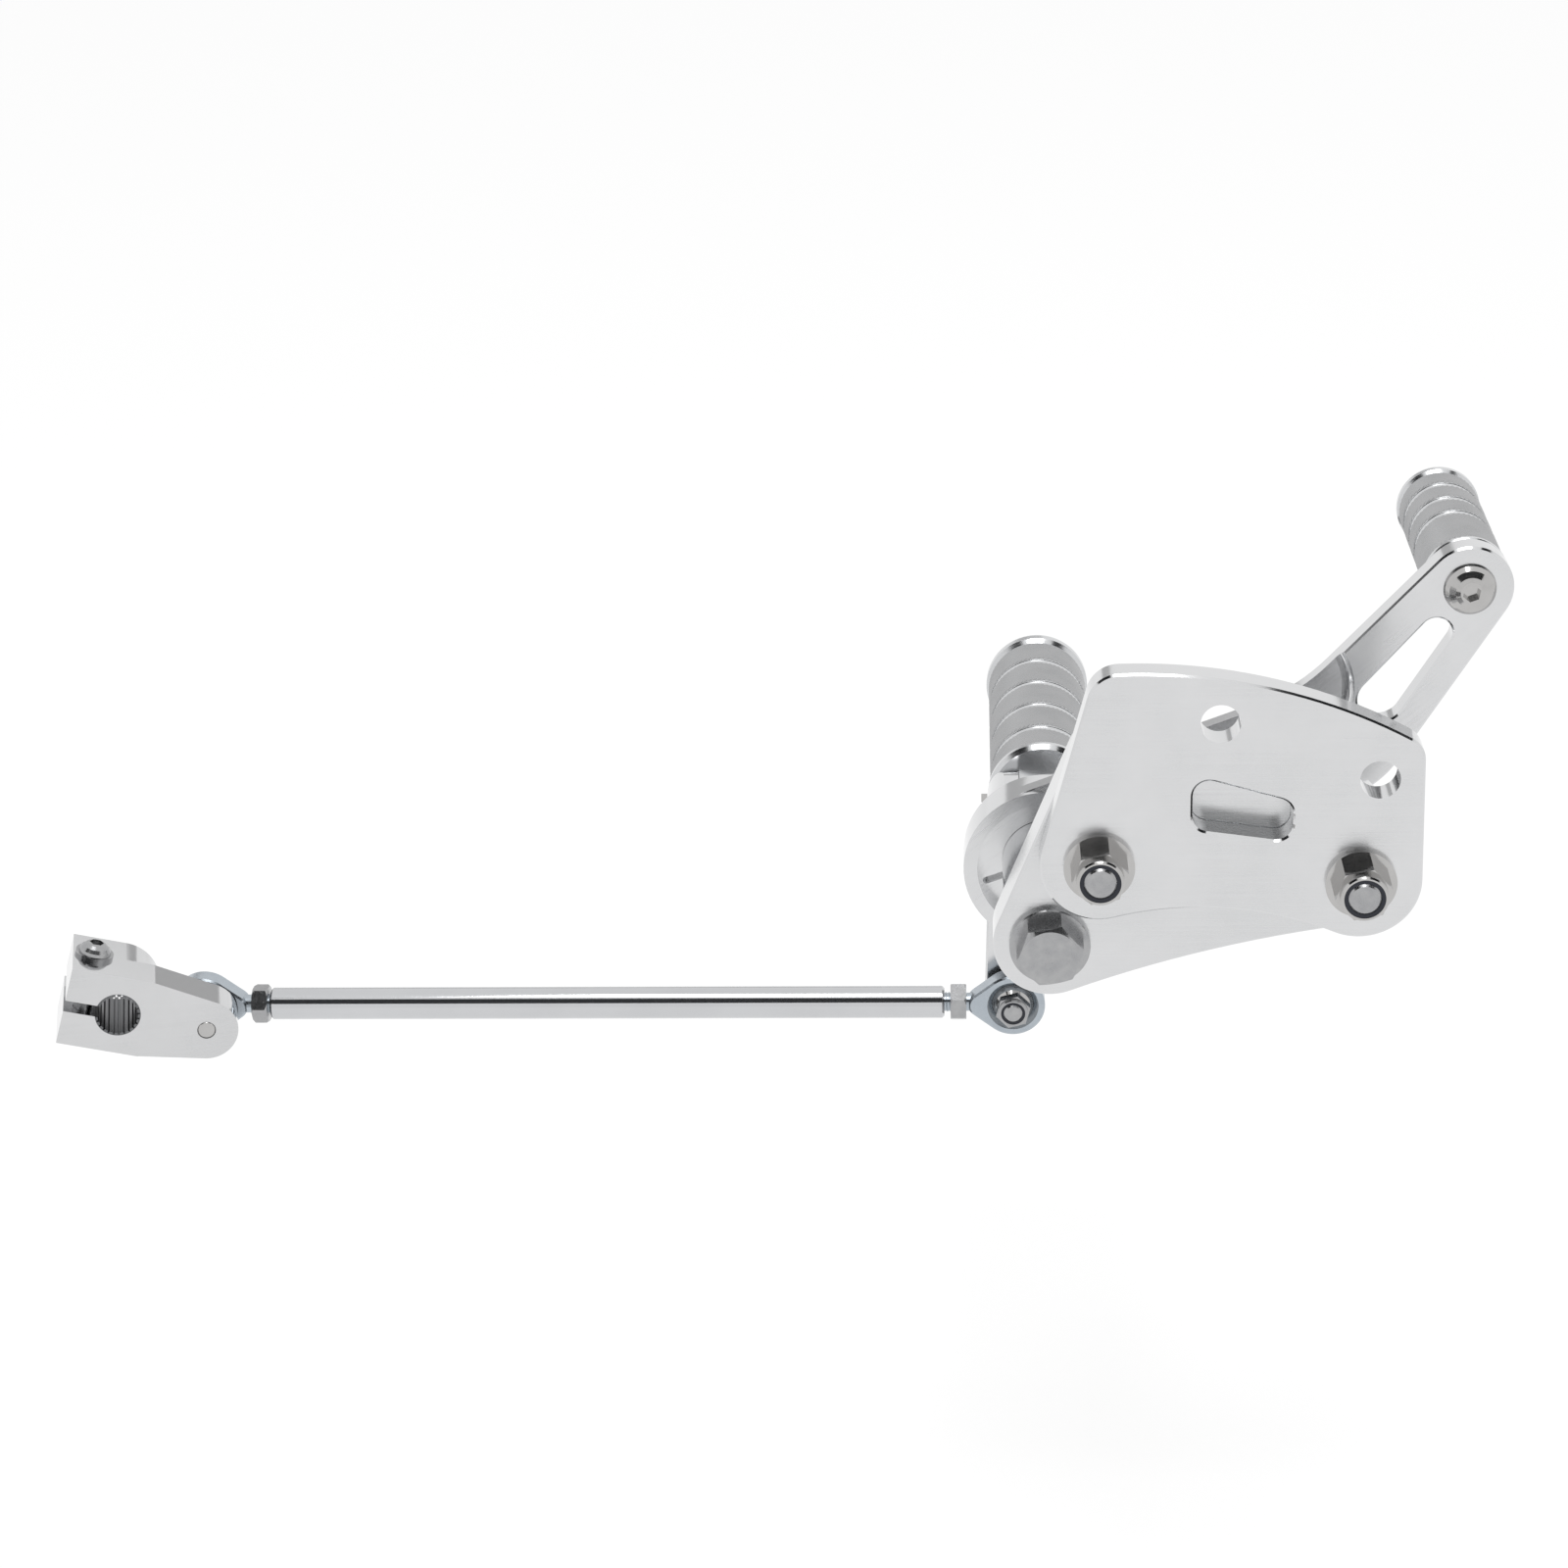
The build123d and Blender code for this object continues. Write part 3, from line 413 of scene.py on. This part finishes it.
# The same billet, polished along the sloping toe arm.
ARM_POLISHED_ALUMINIUM = MetalFinish(
    name="arm_polished_aluminium",
    colour="#DADADB",
    shade="#D0D1D2",
    roughness=(0.18, 0.30),
    mark_mm=0.5,
    mark_depth_mm=0.0015,
    patch_mm=30.0,
    grain=Grain.ALONG_ARM,
    turn_deg=(42.0, 0.0),
    edge_roughness=0.10,
)
# The clamp arm, whose splined bore keeps its cut skin: a little greyer, with a dull bore whose dark
# colour is painted shade.
CLAMP_ARM_ALUMINIUM = MetalFinish(
    name="clamp_arm_aluminium",
    colour="#D3D3D4",
    shade="#C9CACB",
    roughness=(0.18, 0.32),
    mark_mm=0.5,
    mark_depth_mm=0.003,
    patch_mm=30.0,
    grain=Grain.ALONG_X,
    turn_deg=(0.0, -12.5),
    edge_roughness=0.10,
    bore=DullBore(
        mouth_mm=(-372.3, 34.5, -102.7),
        axis=(-0.2164, 0.9763, 0.0),
        radius_mm=7.3,
        # Painted shade: this dark grey stands in for the shade inside the bore.
        colour="#6E6F71",
        roughness=0.34,
    ),
)
# Bar stock turned on a lathe and polished: tight rings about the peg's axis.
TURNED_ALUMINIUM = MetalFinish(
    name="turned_polished_aluminium",
    colour="#D4D5D6",
    shade="#C8C9CB",
    roughness=(0.10, 0.22),
    mark_mm=0.45,
    mark_depth_mm=0.008,
    patch_mm=18.0,
    grain=Grain.LATHE_Y,
)
# The knurled bands, which keep the cutter's skin: duller and greyer than the polished metal.
KNURLED_ALUMINIUM = MetalFinish(
    name="knurled_aluminium",
    colour="#B4B4B5",
    shade="#A2A3A4",
    roughness=(0.22, 0.36),
    mark_mm=0.45,
    mark_depth_mm=0.004,
    patch_mm=12.0,
)
# The rod, turned about its own length and polished: the brightest mirror of the aluminium pieces.
TURNED_ROD_ALUMINIUM = MetalFinish(
    name="turned_rod_aluminium",
    colour="#CCCDCF",
    shade="#C0C1C3",
    roughness=(0.06, 0.13),
    mark_mm=0.5,
    mark_depth_mm=0.006,
    patch_mm=25.0,
    grain=Grain.LATHE_X,
)
# Bright zinc plate over steel: cool grey with cloudy patches.
BRIGHT_ZINC = MetalFinish(
    name="bright_zinc_plate",
    colour="#B9C0C6",
    shade="#A4ACB4",
    roughness=(0.16, 0.30),
    mark_mm=0.6,
    mark_depth_mm=0.006,
    patch_mm=5.0,
)
# Polished stainless steel: darker and more mirror like than the aluminium.
BRIGHT_STEEL = MetalFinish(
    name="polished_stainless_steel",
    colour="#BDBCBB",
    shade="#AFAEAD",
    roughness=(0.08, 0.16),
    mark_mm=0.7,
    mark_depth_mm=0.002,
    patch_mm=9.0,
)
# Stainless bolts and nuts, cold headed and lightly pickled: neutral grey, brighter where rubbed.
STAINLESS_FASTENER = MetalFinish(
    name="pickled_stainless_steel",
    colour="#B4B4B4",
    shade="#96979A",
    roughness=(0.14, 0.30),
    mark_mm=0.5,
    mark_depth_mm=0.008,
    patch_mm=4.0,
)
# Black oxide on spring steel: a thin dark skin with a dull sheen.
BLACK_OXIDE = MetalFinish(
    name="black_oxide_steel",
    colour="#3A3B3D",
    shade="#2C2D2F",
    roughness=(0.34, 0.46),
    mark_mm=0.4,
    mark_depth_mm=0.004,
    patch_mm=4.0,
)
# Sintered bronze: warm and slightly porous.
SINTERED_BRONZE = MetalFinish(
    name="sintered_bronze",
    colour="#A9793E",
    shade="#8E6432",
    roughness=(0.34, 0.50),
    mark_mm=0.5,
    mark_depth_mm=0.015,
    patch_mm=4.0,
)
# Moulded nylon of the lock rings: dark blue with a soft sheen.
LOCK_NYLON = MouldedFinish(
    name="lock_ring_nylon", colour="#141B2C", shade="#0D1220", roughness=0.42, peel_mm=0.8
)

FINISH_OF_NODE: dict[str, Finish] = {
    "frame_plate": BELT_POLISHED_ALUMINIUM,
    "control_plate": BELT_POLISHED_ALUMINIUM,
    "plate_bolts": STAINLESS_FASTENER,
    "flange_nuts": BRIGHT_STEEL,
    "flange_nut_inserts": LOCK_NYLON,
    "pivot_bolt": STAINLESS_FASTENER,
    "pivot_washer": STAINLESS_FASTENER,
    "pivot_spacer": TURNED_ALUMINIUM,
    "pivot_bush": SINTERED_BRONZE,
    "shift_lever": ARM_POLISHED_ALUMINIUM,
    "toe_peg": TURNED_ALUMINIUM,
    "toe_peg_screw": BRIGHT_STEEL,
    "peg_mount": BELT_POLISHED_ALUMINIUM,
    "foot_peg": TURNED_ALUMINIUM,
    "fold_pin": BRIGHT_STEEL,
    "fold_pin_clip": BLACK_OXIDE,
    "shift_rod": TURNED_ROD_ALUMINIUM,
    "front_jam_nut": STAINLESS_FASTENER,
    "rear_jam_nut": STAINLESS_FASTENER,
    "front_rod_end": BRIGHT_ZINC,
    "front_ball": BRIGHT_STEEL,
    "rear_rod_end": BRIGHT_ZINC,
    "rear_ball": BRIGHT_STEEL,
    "rod_bolt_collar": BRIGHT_STEEL,
    "rod_bolt": STAINLESS_FASTENER,
    "rod_bolt_nut": STAINLESS_FASTENER,
    "rod_bolt_nut_insert": LOCK_NYLON,
    "shift_arm": CLAMP_ARM_ALUMINIUM,
    "arm_pin": BRIGHT_STEEL,
    "clamp_screw": STAINLESS_FASTENER,
    "clamp_screw_washer": STAINLESS_FASTENER,
}


def dress(piece: bpy.types.Object, finish: Finish) -> None:
    """Give every face of a piece one finish."""
    piece.data.materials.clear()
    piece.data.materials.append(finish.material())


def new_piece(name: str, shape: bmesh.types.BMesh, finish: Finish, body: str) -> None:
    """Turn a finished bmesh into a piece that rides on a CAD body.

    Args:
        name: Name of the piece.
        shape: Its mesh, already in place in the row frame, in metres.
        finish: Its material.
        body: CAD body that it moves with.
    """
    bmesh.ops.recalc_face_normals(shape, faces=shape.faces)
    piece = linked_object(name, shape)
    dress(piece, finish)
    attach(piece, body)
    log.info("%s: %d faces on %s", name, len(piece.data.polygons), body)


def spun_ring(profile: list[tuple[float, float]], steps: int) -> bmesh.types.BMesh:
    """Spin a closed profile once about Z.

    Args:
        profile: (radius, height) points of the closed section, in metres.
        steps: Steps in the full turn.

    Returns:
        The ring as a bmesh.
    """
    shape = bmesh.new()
    corners = [shape.verts.new((radius, 0.0, height)) for radius, height in profile]
    edges = [shape.edges.new((a, b)) for a, b in zip(corners, corners[1:] + corners[:1])]
    bmesh.ops.spin(
        shape,
        geom=corners + edges,
        cent=(0.0, 0.0, 0.0),
        axis=(0.0, 0.0, 1.0),
        angle=FULL_TURN,
        steps=steps,
        use_merge=True,
    )
    bmesh.ops.remove_doubles(shape, verts=shape.verts, dist=MERGE_MM * MM)
    return shape


def axis_matrix(origin: Vector, direction: Vector) -> Matrix:
    """Matrix that stands a shape built along Z at origin, along direction."""
    return Matrix.Translation(origin) @ direction.to_track_quat("Z", "Y").to_matrix().to_4x4()


@dataclass
class KnurledPeg:
    """Knurled bands of a turned peg, and polished coves in the grooves between them.

    Attributes:
        node: CAD node of the peg.
        body: CAD body that it rides on.
        centre_mm: X and Z of the peg's axis.
        base_mm: Y of the peg's near face.
        body_r_mm: Radius of the grip.
        bands_mm: Start and end of each band, from the near face.
        pitch_mm: Size of one diamond of the knurl, drawn coarser than the real 1 mm so that it shows.
        height_mm: Height of a diamond.
        sleeve_depth_mm: Depth of a sleeve's inner face under the grip.
        sleeve_lift_mm: Height of a sleeve's skin over the grip.
        groove_mm: Width of a groove.
        cove_depth_mm: Depth of the cove that lies in it.
        cove_drop_mm: Depth of the cove's rims under the grip.
        seat_depth_mm: Depth of the cove ring's inner face under the grip.
        wall_bite_mm: How far the ring reaches into each wall of the groove.
        cove_steps: Steps across the cove.
        turn_steps: Steps round the cove.
    """

    node: str
    body: str
    centre_mm: tuple[float, float]
    base_mm: float
    body_r_mm: float
    bands_mm: tuple[tuple[float, float], ...]
    pitch_mm: float = 1.6
    height_mm: float = 0.45
    sleeve_depth_mm: float = 0.5
    sleeve_lift_mm: float = 0.02
    groove_mm: float = 2.6
    cove_depth_mm: float = 0.8
    cove_drop_mm: float = 0.01
    seat_depth_mm: float = 1.25
    wall_bite_mm: float = 0.05
    cove_steps: int = 8
    turn_steps: int = 96

    def build(self) -> None:
        """Make each band as one closed sleeve, and a cove in each groove between two bands."""
        for number, (start, end) in enumerate(self.bands_mm, 1):
            self.band(number, start, end)
        for number, (before, after) in enumerate(zip(self.bands_mm, self.bands_mm[1:]), 1):
            middle = (before[1] + after[0]) / 2
            self.cove(number, middle - self.groove_mm / 2, middle + self.groove_mm / 2)

    def on_peg(self) -> Matrix:
        """Matrix that brings a shape built along Z from the origin onto the peg's axis."""
        origin = Vector((self.centre_mm[0], self.base_mm, self.centre_mm[1])) * MM
        return axis_matrix(origin, Vector((0.0, 1.0, 0.0)))

    def cove(self, number: int, near: float, far: float) -> None:
        """Turn a polished cove in the groove from near to far.

        Args:
            number: Number of the groove, from the near face.
            near: Near edge of the groove in millimetres.
            far: Far edge of the groove in millimetres.
        """
        seat = (self.body_r_mm - self.seat_depth_mm) * MM
        profile = [(seat, (near - self.wall_bite_mm) * MM)]
        for step in range(self.cove_steps + 1):
            share = step / self.cove_steps
            drop = self.cove_depth_mm * math.sin(math.pi * share)
            along = near - self.wall_bite_mm + (far - near + 2 * self.wall_bite_mm) * share
            profile.append(((self.body_r_mm - self.cove_drop_mm - drop) * MM, along * MM))
        profile.append((seat, (far + self.wall_bite_mm) * MM))
        shape = spun_ring(profile, self.turn_steps)
        bmesh.ops.transform(shape, matrix=self.on_peg(), verts=shape.verts)
        for face in shape.faces:
            face.smooth = True
        new_piece(f"{self.node}_cove_{number}", shape, TURNED_ALUMINIUM, self.body)

    def band(self, number: int, start: float, end: float) -> None:
        """Make one sleeve whose outer skin rises to a diamond at every second point.

        Args:
            number: Number of the band, from the near face.
            start: Start of the band in millimetres.
            end: End of the band in millimetres.
        """
        around = 2 * round(FULL_TURN * self.body_r_mm / self.pitch_mm)
        rows = 2 * round((end - start) / self.pitch_mm)
        seat = (self.body_r_mm - self.sleeve_depth_mm) * MM
        skin = (self.body_r_mm + self.sleeve_lift_mm) * MM
        heights = [(start + (end - start) * row / rows) * MM for row in range(rows + 1)]
        profile = [(seat, heights[0])] + [(skin, z) for z in heights] + [(seat, heights[-1])]
        shape = spun_ring(profile, around)
        step = FULL_TURN / around
        rise = self.height_mm * MM
        for vert in shape.verts:
            if vert.co.xy.length < seat + SEAT_MARGIN_MM * MM:
                continue
            column = round(math.atan2(vert.co.y, vert.co.x) / step)
            row = round((vert.co.z - heights[0]) / (heights[-1] - heights[0]) * rows)
            if 0 < row < rows and (column + row) % 2 == 0:
                vert.co.xy *= 1 + rise / skin
        bmesh.ops.transform(shape, matrix=self.on_peg(), verts=shape.verts)
        new_piece(f"{self.node}_knurl_{number}", shape, KNURLED_ALUMINIUM, self.body)


@dataclass
class ScrewThread:
    """A helical thread ridge on a plain shank.

    Attributes:
        name: Name of the piece.
        body: CAD body that it rides on.
        start_mm: Where the thread starts, on the shank's axis.
        direction: Way that the thread runs.
        root_r_mm: Radius of the plain shank that carries it.
        length_mm: Length of the threaded stretch.
        pitch_mm: Thread pitch.
        finish: Its material.
        slot: Material slot of the record; not used.
        height_mm: Height of the ridge over the shank.
        bite_mm: Depth of the ridge's foot in the shank.
        foot_share: Half the width of the foot, as a share of the pitch.
        crest_share: Width of the crest, as a share of the foot's.
        steps_per_turn: Steps in one turn.
    """

    name: str
    body: str
    start_mm: tuple[float, float, float]
    direction: tuple[float, float, float]
    root_r_mm: float
    length_mm: float
    pitch_mm: float
    finish: MetalFinish
    slot: str
    height_mm: float = 0.28
    bite_mm: float = 0.25
    foot_share: float = 0.42
    crest_share: float = 0.22
    steps_per_turn: int = 28

    def build(self) -> None:
        """Spin the tooth section up the shank; its first and last faces close the two ends."""
        shape = bmesh.new()
        half = self.foot_share * self.pitch_mm * MM
        crest = half * self.crest_share
        inner = (self.root_r_mm - self.bite_mm) * MM
        outer = (self.root_r_mm + self.height_mm) * MM
        section = [(inner, -half), (outer, -crest), (outer, crest), (inner, half)]
        corners = [shape.verts.new((radius, 0.0, height)) for radius, height in section]
        tooth = shape.faces.new(corners)
        turns = (self.length_mm - self.pitch_mm) / self.pitch_mm
        steps = round(turns * self.steps_per_turn)
        bmesh.ops.spin(
            shape,
            geom=[tooth, *corners, *tooth.edges],
            cent=(0.0, 0.0, 0.0),
            axis=(0.0, 0.0, 1.0),
            dvec=(0.0, 0.0, (self.length_mm - self.pitch_mm) * MM / steps),
            angle=FULL_TURN * turns,
            steps=steps,
            use_duplicate=False,
        )
        lift = Matrix.Translation((0.0, 0.0, self.pitch_mm * MM / 2))
        place = axis_matrix(Vector(self.start_mm) * MM, Vector(self.direction))
        bmesh.ops.transform(shape, matrix=place @ lift, verts=shape.verts)
        new_piece(self.name, shape, self.finish, self.body)


@dataclass
class CadFinishes:
    """Finishes of the CAD nodes.

    Attributes:
        nodes: The frame's nodes by name.
    """

    nodes: dict[str, bpy.types.Object]

    def build(self) -> None:
        """Dress every CAD node."""
        for name, node in self.nodes.items():
            dress(node, FINISH_OF_NODE[name])
            log.info("%s: %s", name, FINISH_OF_NODE[name].name)


@dataclass(frozen=True)
class Card:
    """A matt card that faces the part and shows only in its polish.

    Attributes:
        place_m: Middle of the card.
        size_m: Its width and height.
        shade: sRGB hex of the card.
    """

    place_m: tuple[float, float, float]
    size_m: tuple[float, float]
    shade: str


@dataclass
class Studio:
    """Pale floor, one soft lamp, three dark cards and a pale one to reflect, and a white world.

    Attributes:
        floor_drop_mm: Drop from the resting part to the floor, which clears the rod at its lowest.
        floor_half_m: Half the width of the floor.
        floor_shade: sRGB hex of the floor's paper.
        floor_lift: Light added to the paper where it is seen, which brings it to white.
        world_light: Strength of the world on the object's matt side.
        lamp_place_m: Middle of the soft lamp.
        lamp_size_m: Width of the soft lamp.
        lamp_power_w: Power of the soft lamp.
        cards: Front and overhead, left flank, right flank, and low behind on the rod's side.
    """

    floor_drop_mm: float = 190.0
    floor_half_m: float = 30.0
    floor_shade: str = "#BCBCBC"
    floor_lift: float = 0.60
    world_light: float = 0.72
    lamp_place_m: tuple[float, float, float] = (-0.1, -0.55, 2.2)
    lamp_size_m: float = 0.9
    lamp_power_w: float = 12.0
    cards: tuple[Card, ...] = (
        Card((0.1, -2.3, 1.76), (4.6, 1.8), "#5E5F61"),
        Card((-1.5, -0.9, 1.75), (0.9, 1.4), "#303134"),
        Card((1.5, -0.9, 1.75), (0.9, 1.4), "#303134"),
        Card((-0.85, 3.0, 0.84), (2.2, 0.42), "#F8F8F8"),
    )

    def build(self, lowest: float) -> None:
        """Make the whole studio.

        Args:
            lowest: Height of the resting part's lowest point, in metres.
        """
        self.world()
        self.floor(lowest - self.floor_drop_mm * MM)
        for number, card in enumerate(self.cards, 1):
            self.stand(number, card)
        self.lamp()

    def shown(self, tree: bpy.types.NodeTree) -> bpy.types.NodeSocket:
        """Tell what is seen from what is lit.

        Args:
            tree: Node tree of the floor or the world.

        Returns:
            Socket that is one for a camera, glossy or transmission ray, and nought for the rest.
        """
        path = add_node(tree, "ShaderNodeLightPath")
        mirror = add_node(
            tree,
            "ShaderNodeMath",
            {0: path.outputs["Is Glossy Ray"], 1: path.outputs["Is Transmission Ray"]},
            operation="MAXIMUM",
        )
        seen = add_node(
            tree,
            "ShaderNodeMath",
            {0: path.outputs["Is Camera Ray"], 1: mirror.outputs["Value"]},
            operation="MAXIMUM",
        )
        return seen.outputs["Value"]

    def world(self) -> None:
        """Make a white background for what is seen, and softer light for what is lit."""
        world = bpy.data.worlds.new("white_studio")
        world.use_nodes = True
        tree = world.node_tree
        tree.nodes.clear()
        white = {"Color": linear_colour(WHITE), "Strength": 1.0}
        soft = {"Color": linear_colour(WHITE), "Strength": self.world_light}
        seen = add_node(tree, "ShaderNodeBackground", white)
        light = add_node(tree, "ShaderNodeBackground", soft)
        both = add_node(
            tree,
            "ShaderNodeMixShader",
            {0: self.shown(tree), 1: light.outputs["Background"], 2: seen.outputs["Background"]},
        )
        add_node(tree, "ShaderNodeOutputWorld", {"Surface": both.outputs["Shader"]})
        bpy.context.scene.world = world

    def floor(self, height: float) -> None:
        """Lay the pale floor.

        Args:
            height: Its height in metres.
        """
        shape = bmesh.new()
        bmesh.ops.create_grid(shape, x_segments=1, y_segments=1, size=self.floor_half_m)
        bmesh.ops.translate(shape, verts=shape.verts, vec=(0.0, 0.0, height))
        floor = linked_object("pale_floor", shape)
        material, tree = new_material("matt_white_paper")
        paper = add_node(tree, "ShaderNodeBsdfDiffuse", {"Color": linear_colour(self.floor_shade)})
        glow = add_node(
            tree, "ShaderNodeMath", {0: self.shown(tree), 1: self.floor_lift}, operation="MULTIPLY"
        )
        lift = add_node(
            tree,
            "ShaderNodeEmission",
            {"Color": linear_colour(WHITE), "Strength": glow.outputs["Value"]},
        )
        both = add_node(
            tree, "ShaderNodeAddShader", {0: paper.outputs["BSDF"], 1: lift.outputs["Emission"]}
        )
        add_node(tree, "ShaderNodeOutputMaterial", {"Surface": both.outputs["Shader"]})
        floor.data.materials.append(material)
        floor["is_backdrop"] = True

    def stand(self, number: int, card: Card) -> None:
        """Stand a card round the part, seen only in reflections.

        Args:
            number: Number of the card.
            card: Its place, size and shade.
        """
        place = Vector(card.place_m)
        shape = bmesh.new()
        # A square of one metre, which the scale then stretches.
        bmesh.ops.create_grid(shape, x_segments=1, y_segments=1, size=0.5)
        bmesh.ops.scale(shape, verts=shape.verts, vec=(*card.size_m, 1.0))
        bmesh.ops.transform(shape, matrix=axis_matrix(place, -place.normalized()), verts=shape.verts)
        stood = linked_object(f"card_{number}", shape)
        material, tree = new_material(f"matt_card_{number}")
        felt = add_node(tree, "ShaderNodeBsdfDiffuse", {"Color": linear_colour(card.shade)})
        add_node(tree, "ShaderNodeOutputMaterial", {"Surface": felt.outputs["BSDF"]})
        stood.data.materials.append(material)
        stood.visible_camera = False
        stood.visible_diffuse = False
        stood.visible_shadow = False
        stood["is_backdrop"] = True

    def lamp(self) -> None:
        """Hang the square soft lamp, facing the part."""
        place = Vector(self.lamp_place_m)
        light = bpy.data.lights.new("key_softbox", "AREA")
        light.size = self.lamp_size_m
        light.energy = self.lamp_power_w
        lamp = bpy.data.objects.new("key_softbox", light)
        lamp.location = place
        lamp.rotation_mode = "QUATERNION"
        lamp.rotation_quaternion = (-place).to_track_quat("-Z", "Y")
        bpy.context.scene.collection.objects.link(lamp)


@dataclass
class PhotoCamera:
    """Camera that repeats the photograph's view.

    Attributes:
        focal_px: Focal length in pixels of the photograph.
        pitch_deg: Tilt below the horizon.
        yaw_deg: Turn about Z.
        roll_deg: Roll about the line of sight.
        scale_px_per_mm: Scale at the origin.
        origin_px: Where the origin lies in the photograph.
        sensor_mm: Width of the sensor.
        clip_m: Nearest and furthest distance that it sees.
    """

    focal_px: float = 3575.0
    pitch_deg: float = 22.5
    yaw_deg: float = -3.4
    roll_deg: float = -1.6403
    scale_px_per_mm: float = 3.45
    origin_px: tuple[float, float] = (1327.5, 767.4)
    sensor_mm: float = 36.0
    clip_m: tuple[float, float] = (0.05, 100.0)

    def build(self) -> None:
        """Place the camera and make it the scene's own."""
        pitch = math.radians(self.pitch_deg)
        yaw = math.radians(self.yaw_deg)
        roll = math.radians(self.roll_deg)
        forward = Vector(
            (math.sin(yaw) * math.cos(pitch), math.cos(yaw) * math.cos(pitch), -math.sin(pitch))
        )
        level = Vector((math.cos(yaw), -math.sin(yaw), 0.0))
        upright = level.cross(forward)
        right = level * math.cos(roll) + upright * math.sin(roll)
        up = upright * math.cos(roll) - level * math.sin(roll)
        middle = IMAGE_WIDTH_PX / 2
        ray = forward + right * ((self.origin_px[0] - middle) / self.focal_px)
        ray -= up * ((self.origin_px[1] - middle) / self.focal_px)
        data = bpy.data.cameras.new("photo_camera")
        data.sensor_width = self.sensor_mm
        data.lens = self.sensor_mm * self.focal_px / IMAGE_WIDTH_PX
        data.clip_start, data.clip_end = self.clip_m
        camera = bpy.data.objects.new("photo_camera", data)
        place = Matrix((right, up, -forward)).transposed().to_4x4()
        place.translation = -ray * (self.focal_px / self.scale_px_per_mm) * MM
        camera.matrix_world = place
        bpy.context.scene.collection.objects.link(camera)
        bpy.context.scene.camera = camera


def box_lists() -> list[list[float]]:
    """The object's box as plain lists."""
    return [list(corner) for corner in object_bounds()]


def main() -> None:
    """Dress the frame, add the pieces that the CAD leaves to the scene, and set the studio."""
    logging.basicConfig(level=logging.INFO, format="%(name)s: %(message)s")
    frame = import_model()
    cad_box = box_lists()
    CadFinishes(frame["nodes"]).build()
    KnurledPeg(
        node="foot_peg",
        body="peg",
        centre_mm=(-73.7, -66.8),
        base_mm=127.0,
        body_r_mm=17.0,
        bands_mm=((5.4, 18.0), (22.3, 39.5), (43.8, 61.0), (65.3, 82.5), (86.8, 101.9)),
    ).build()
    KnurledPeg(
        node="toe_peg",
        body="lever",
        centre_mm=(57.0, 27.2),
        base_mm=75.0,
        body_r_mm=12.6,
        bands_mm=((4.4, 27.6), (31.8, 42.0), (46.2, 56.4), (60.6, 69.9)),
    ).build()
    for name, x, z in (("front", 19.1, -42.1), ("rear", -59.2, -36.7)):
        ScrewThread(
            name=f"{name}_plate_bolt_thread",
            body="plates",
            start_mm=(x, -13.2, z),
            direction=(0.0, 1.0, 0.0),
            root_r_mm=4.75,
            length_mm=3.0,
            pitch_mm=1.25,
            finish=STAINLESS_FASTENER,
            slot="stainless_steel",
        ).build()
    for name, x, length in (("front", -106.9, 8.0), ("rear", -334.6, 7.4)):
        ScrewThread(
            name=f"{name}_rod_end_thread",
            body="rod",
            start_mm=(x, 60.0, -111.2),
            direction=(1.0, 0.0, 0.0),
            root_r_mm=2.95,
            length_mm=length,
            pitch_mm=1.0,
            finish=BRIGHT_ZINC,
            slot="zinc_plated_steel",
        ).build()
    bpy.context.scene.view_settings.view_transform = "Standard"
    lowest = cad_box[0][2]
    Studio().build(lowest)
    PhotoCamera().build()


if __name__ == "__main__":
    main()
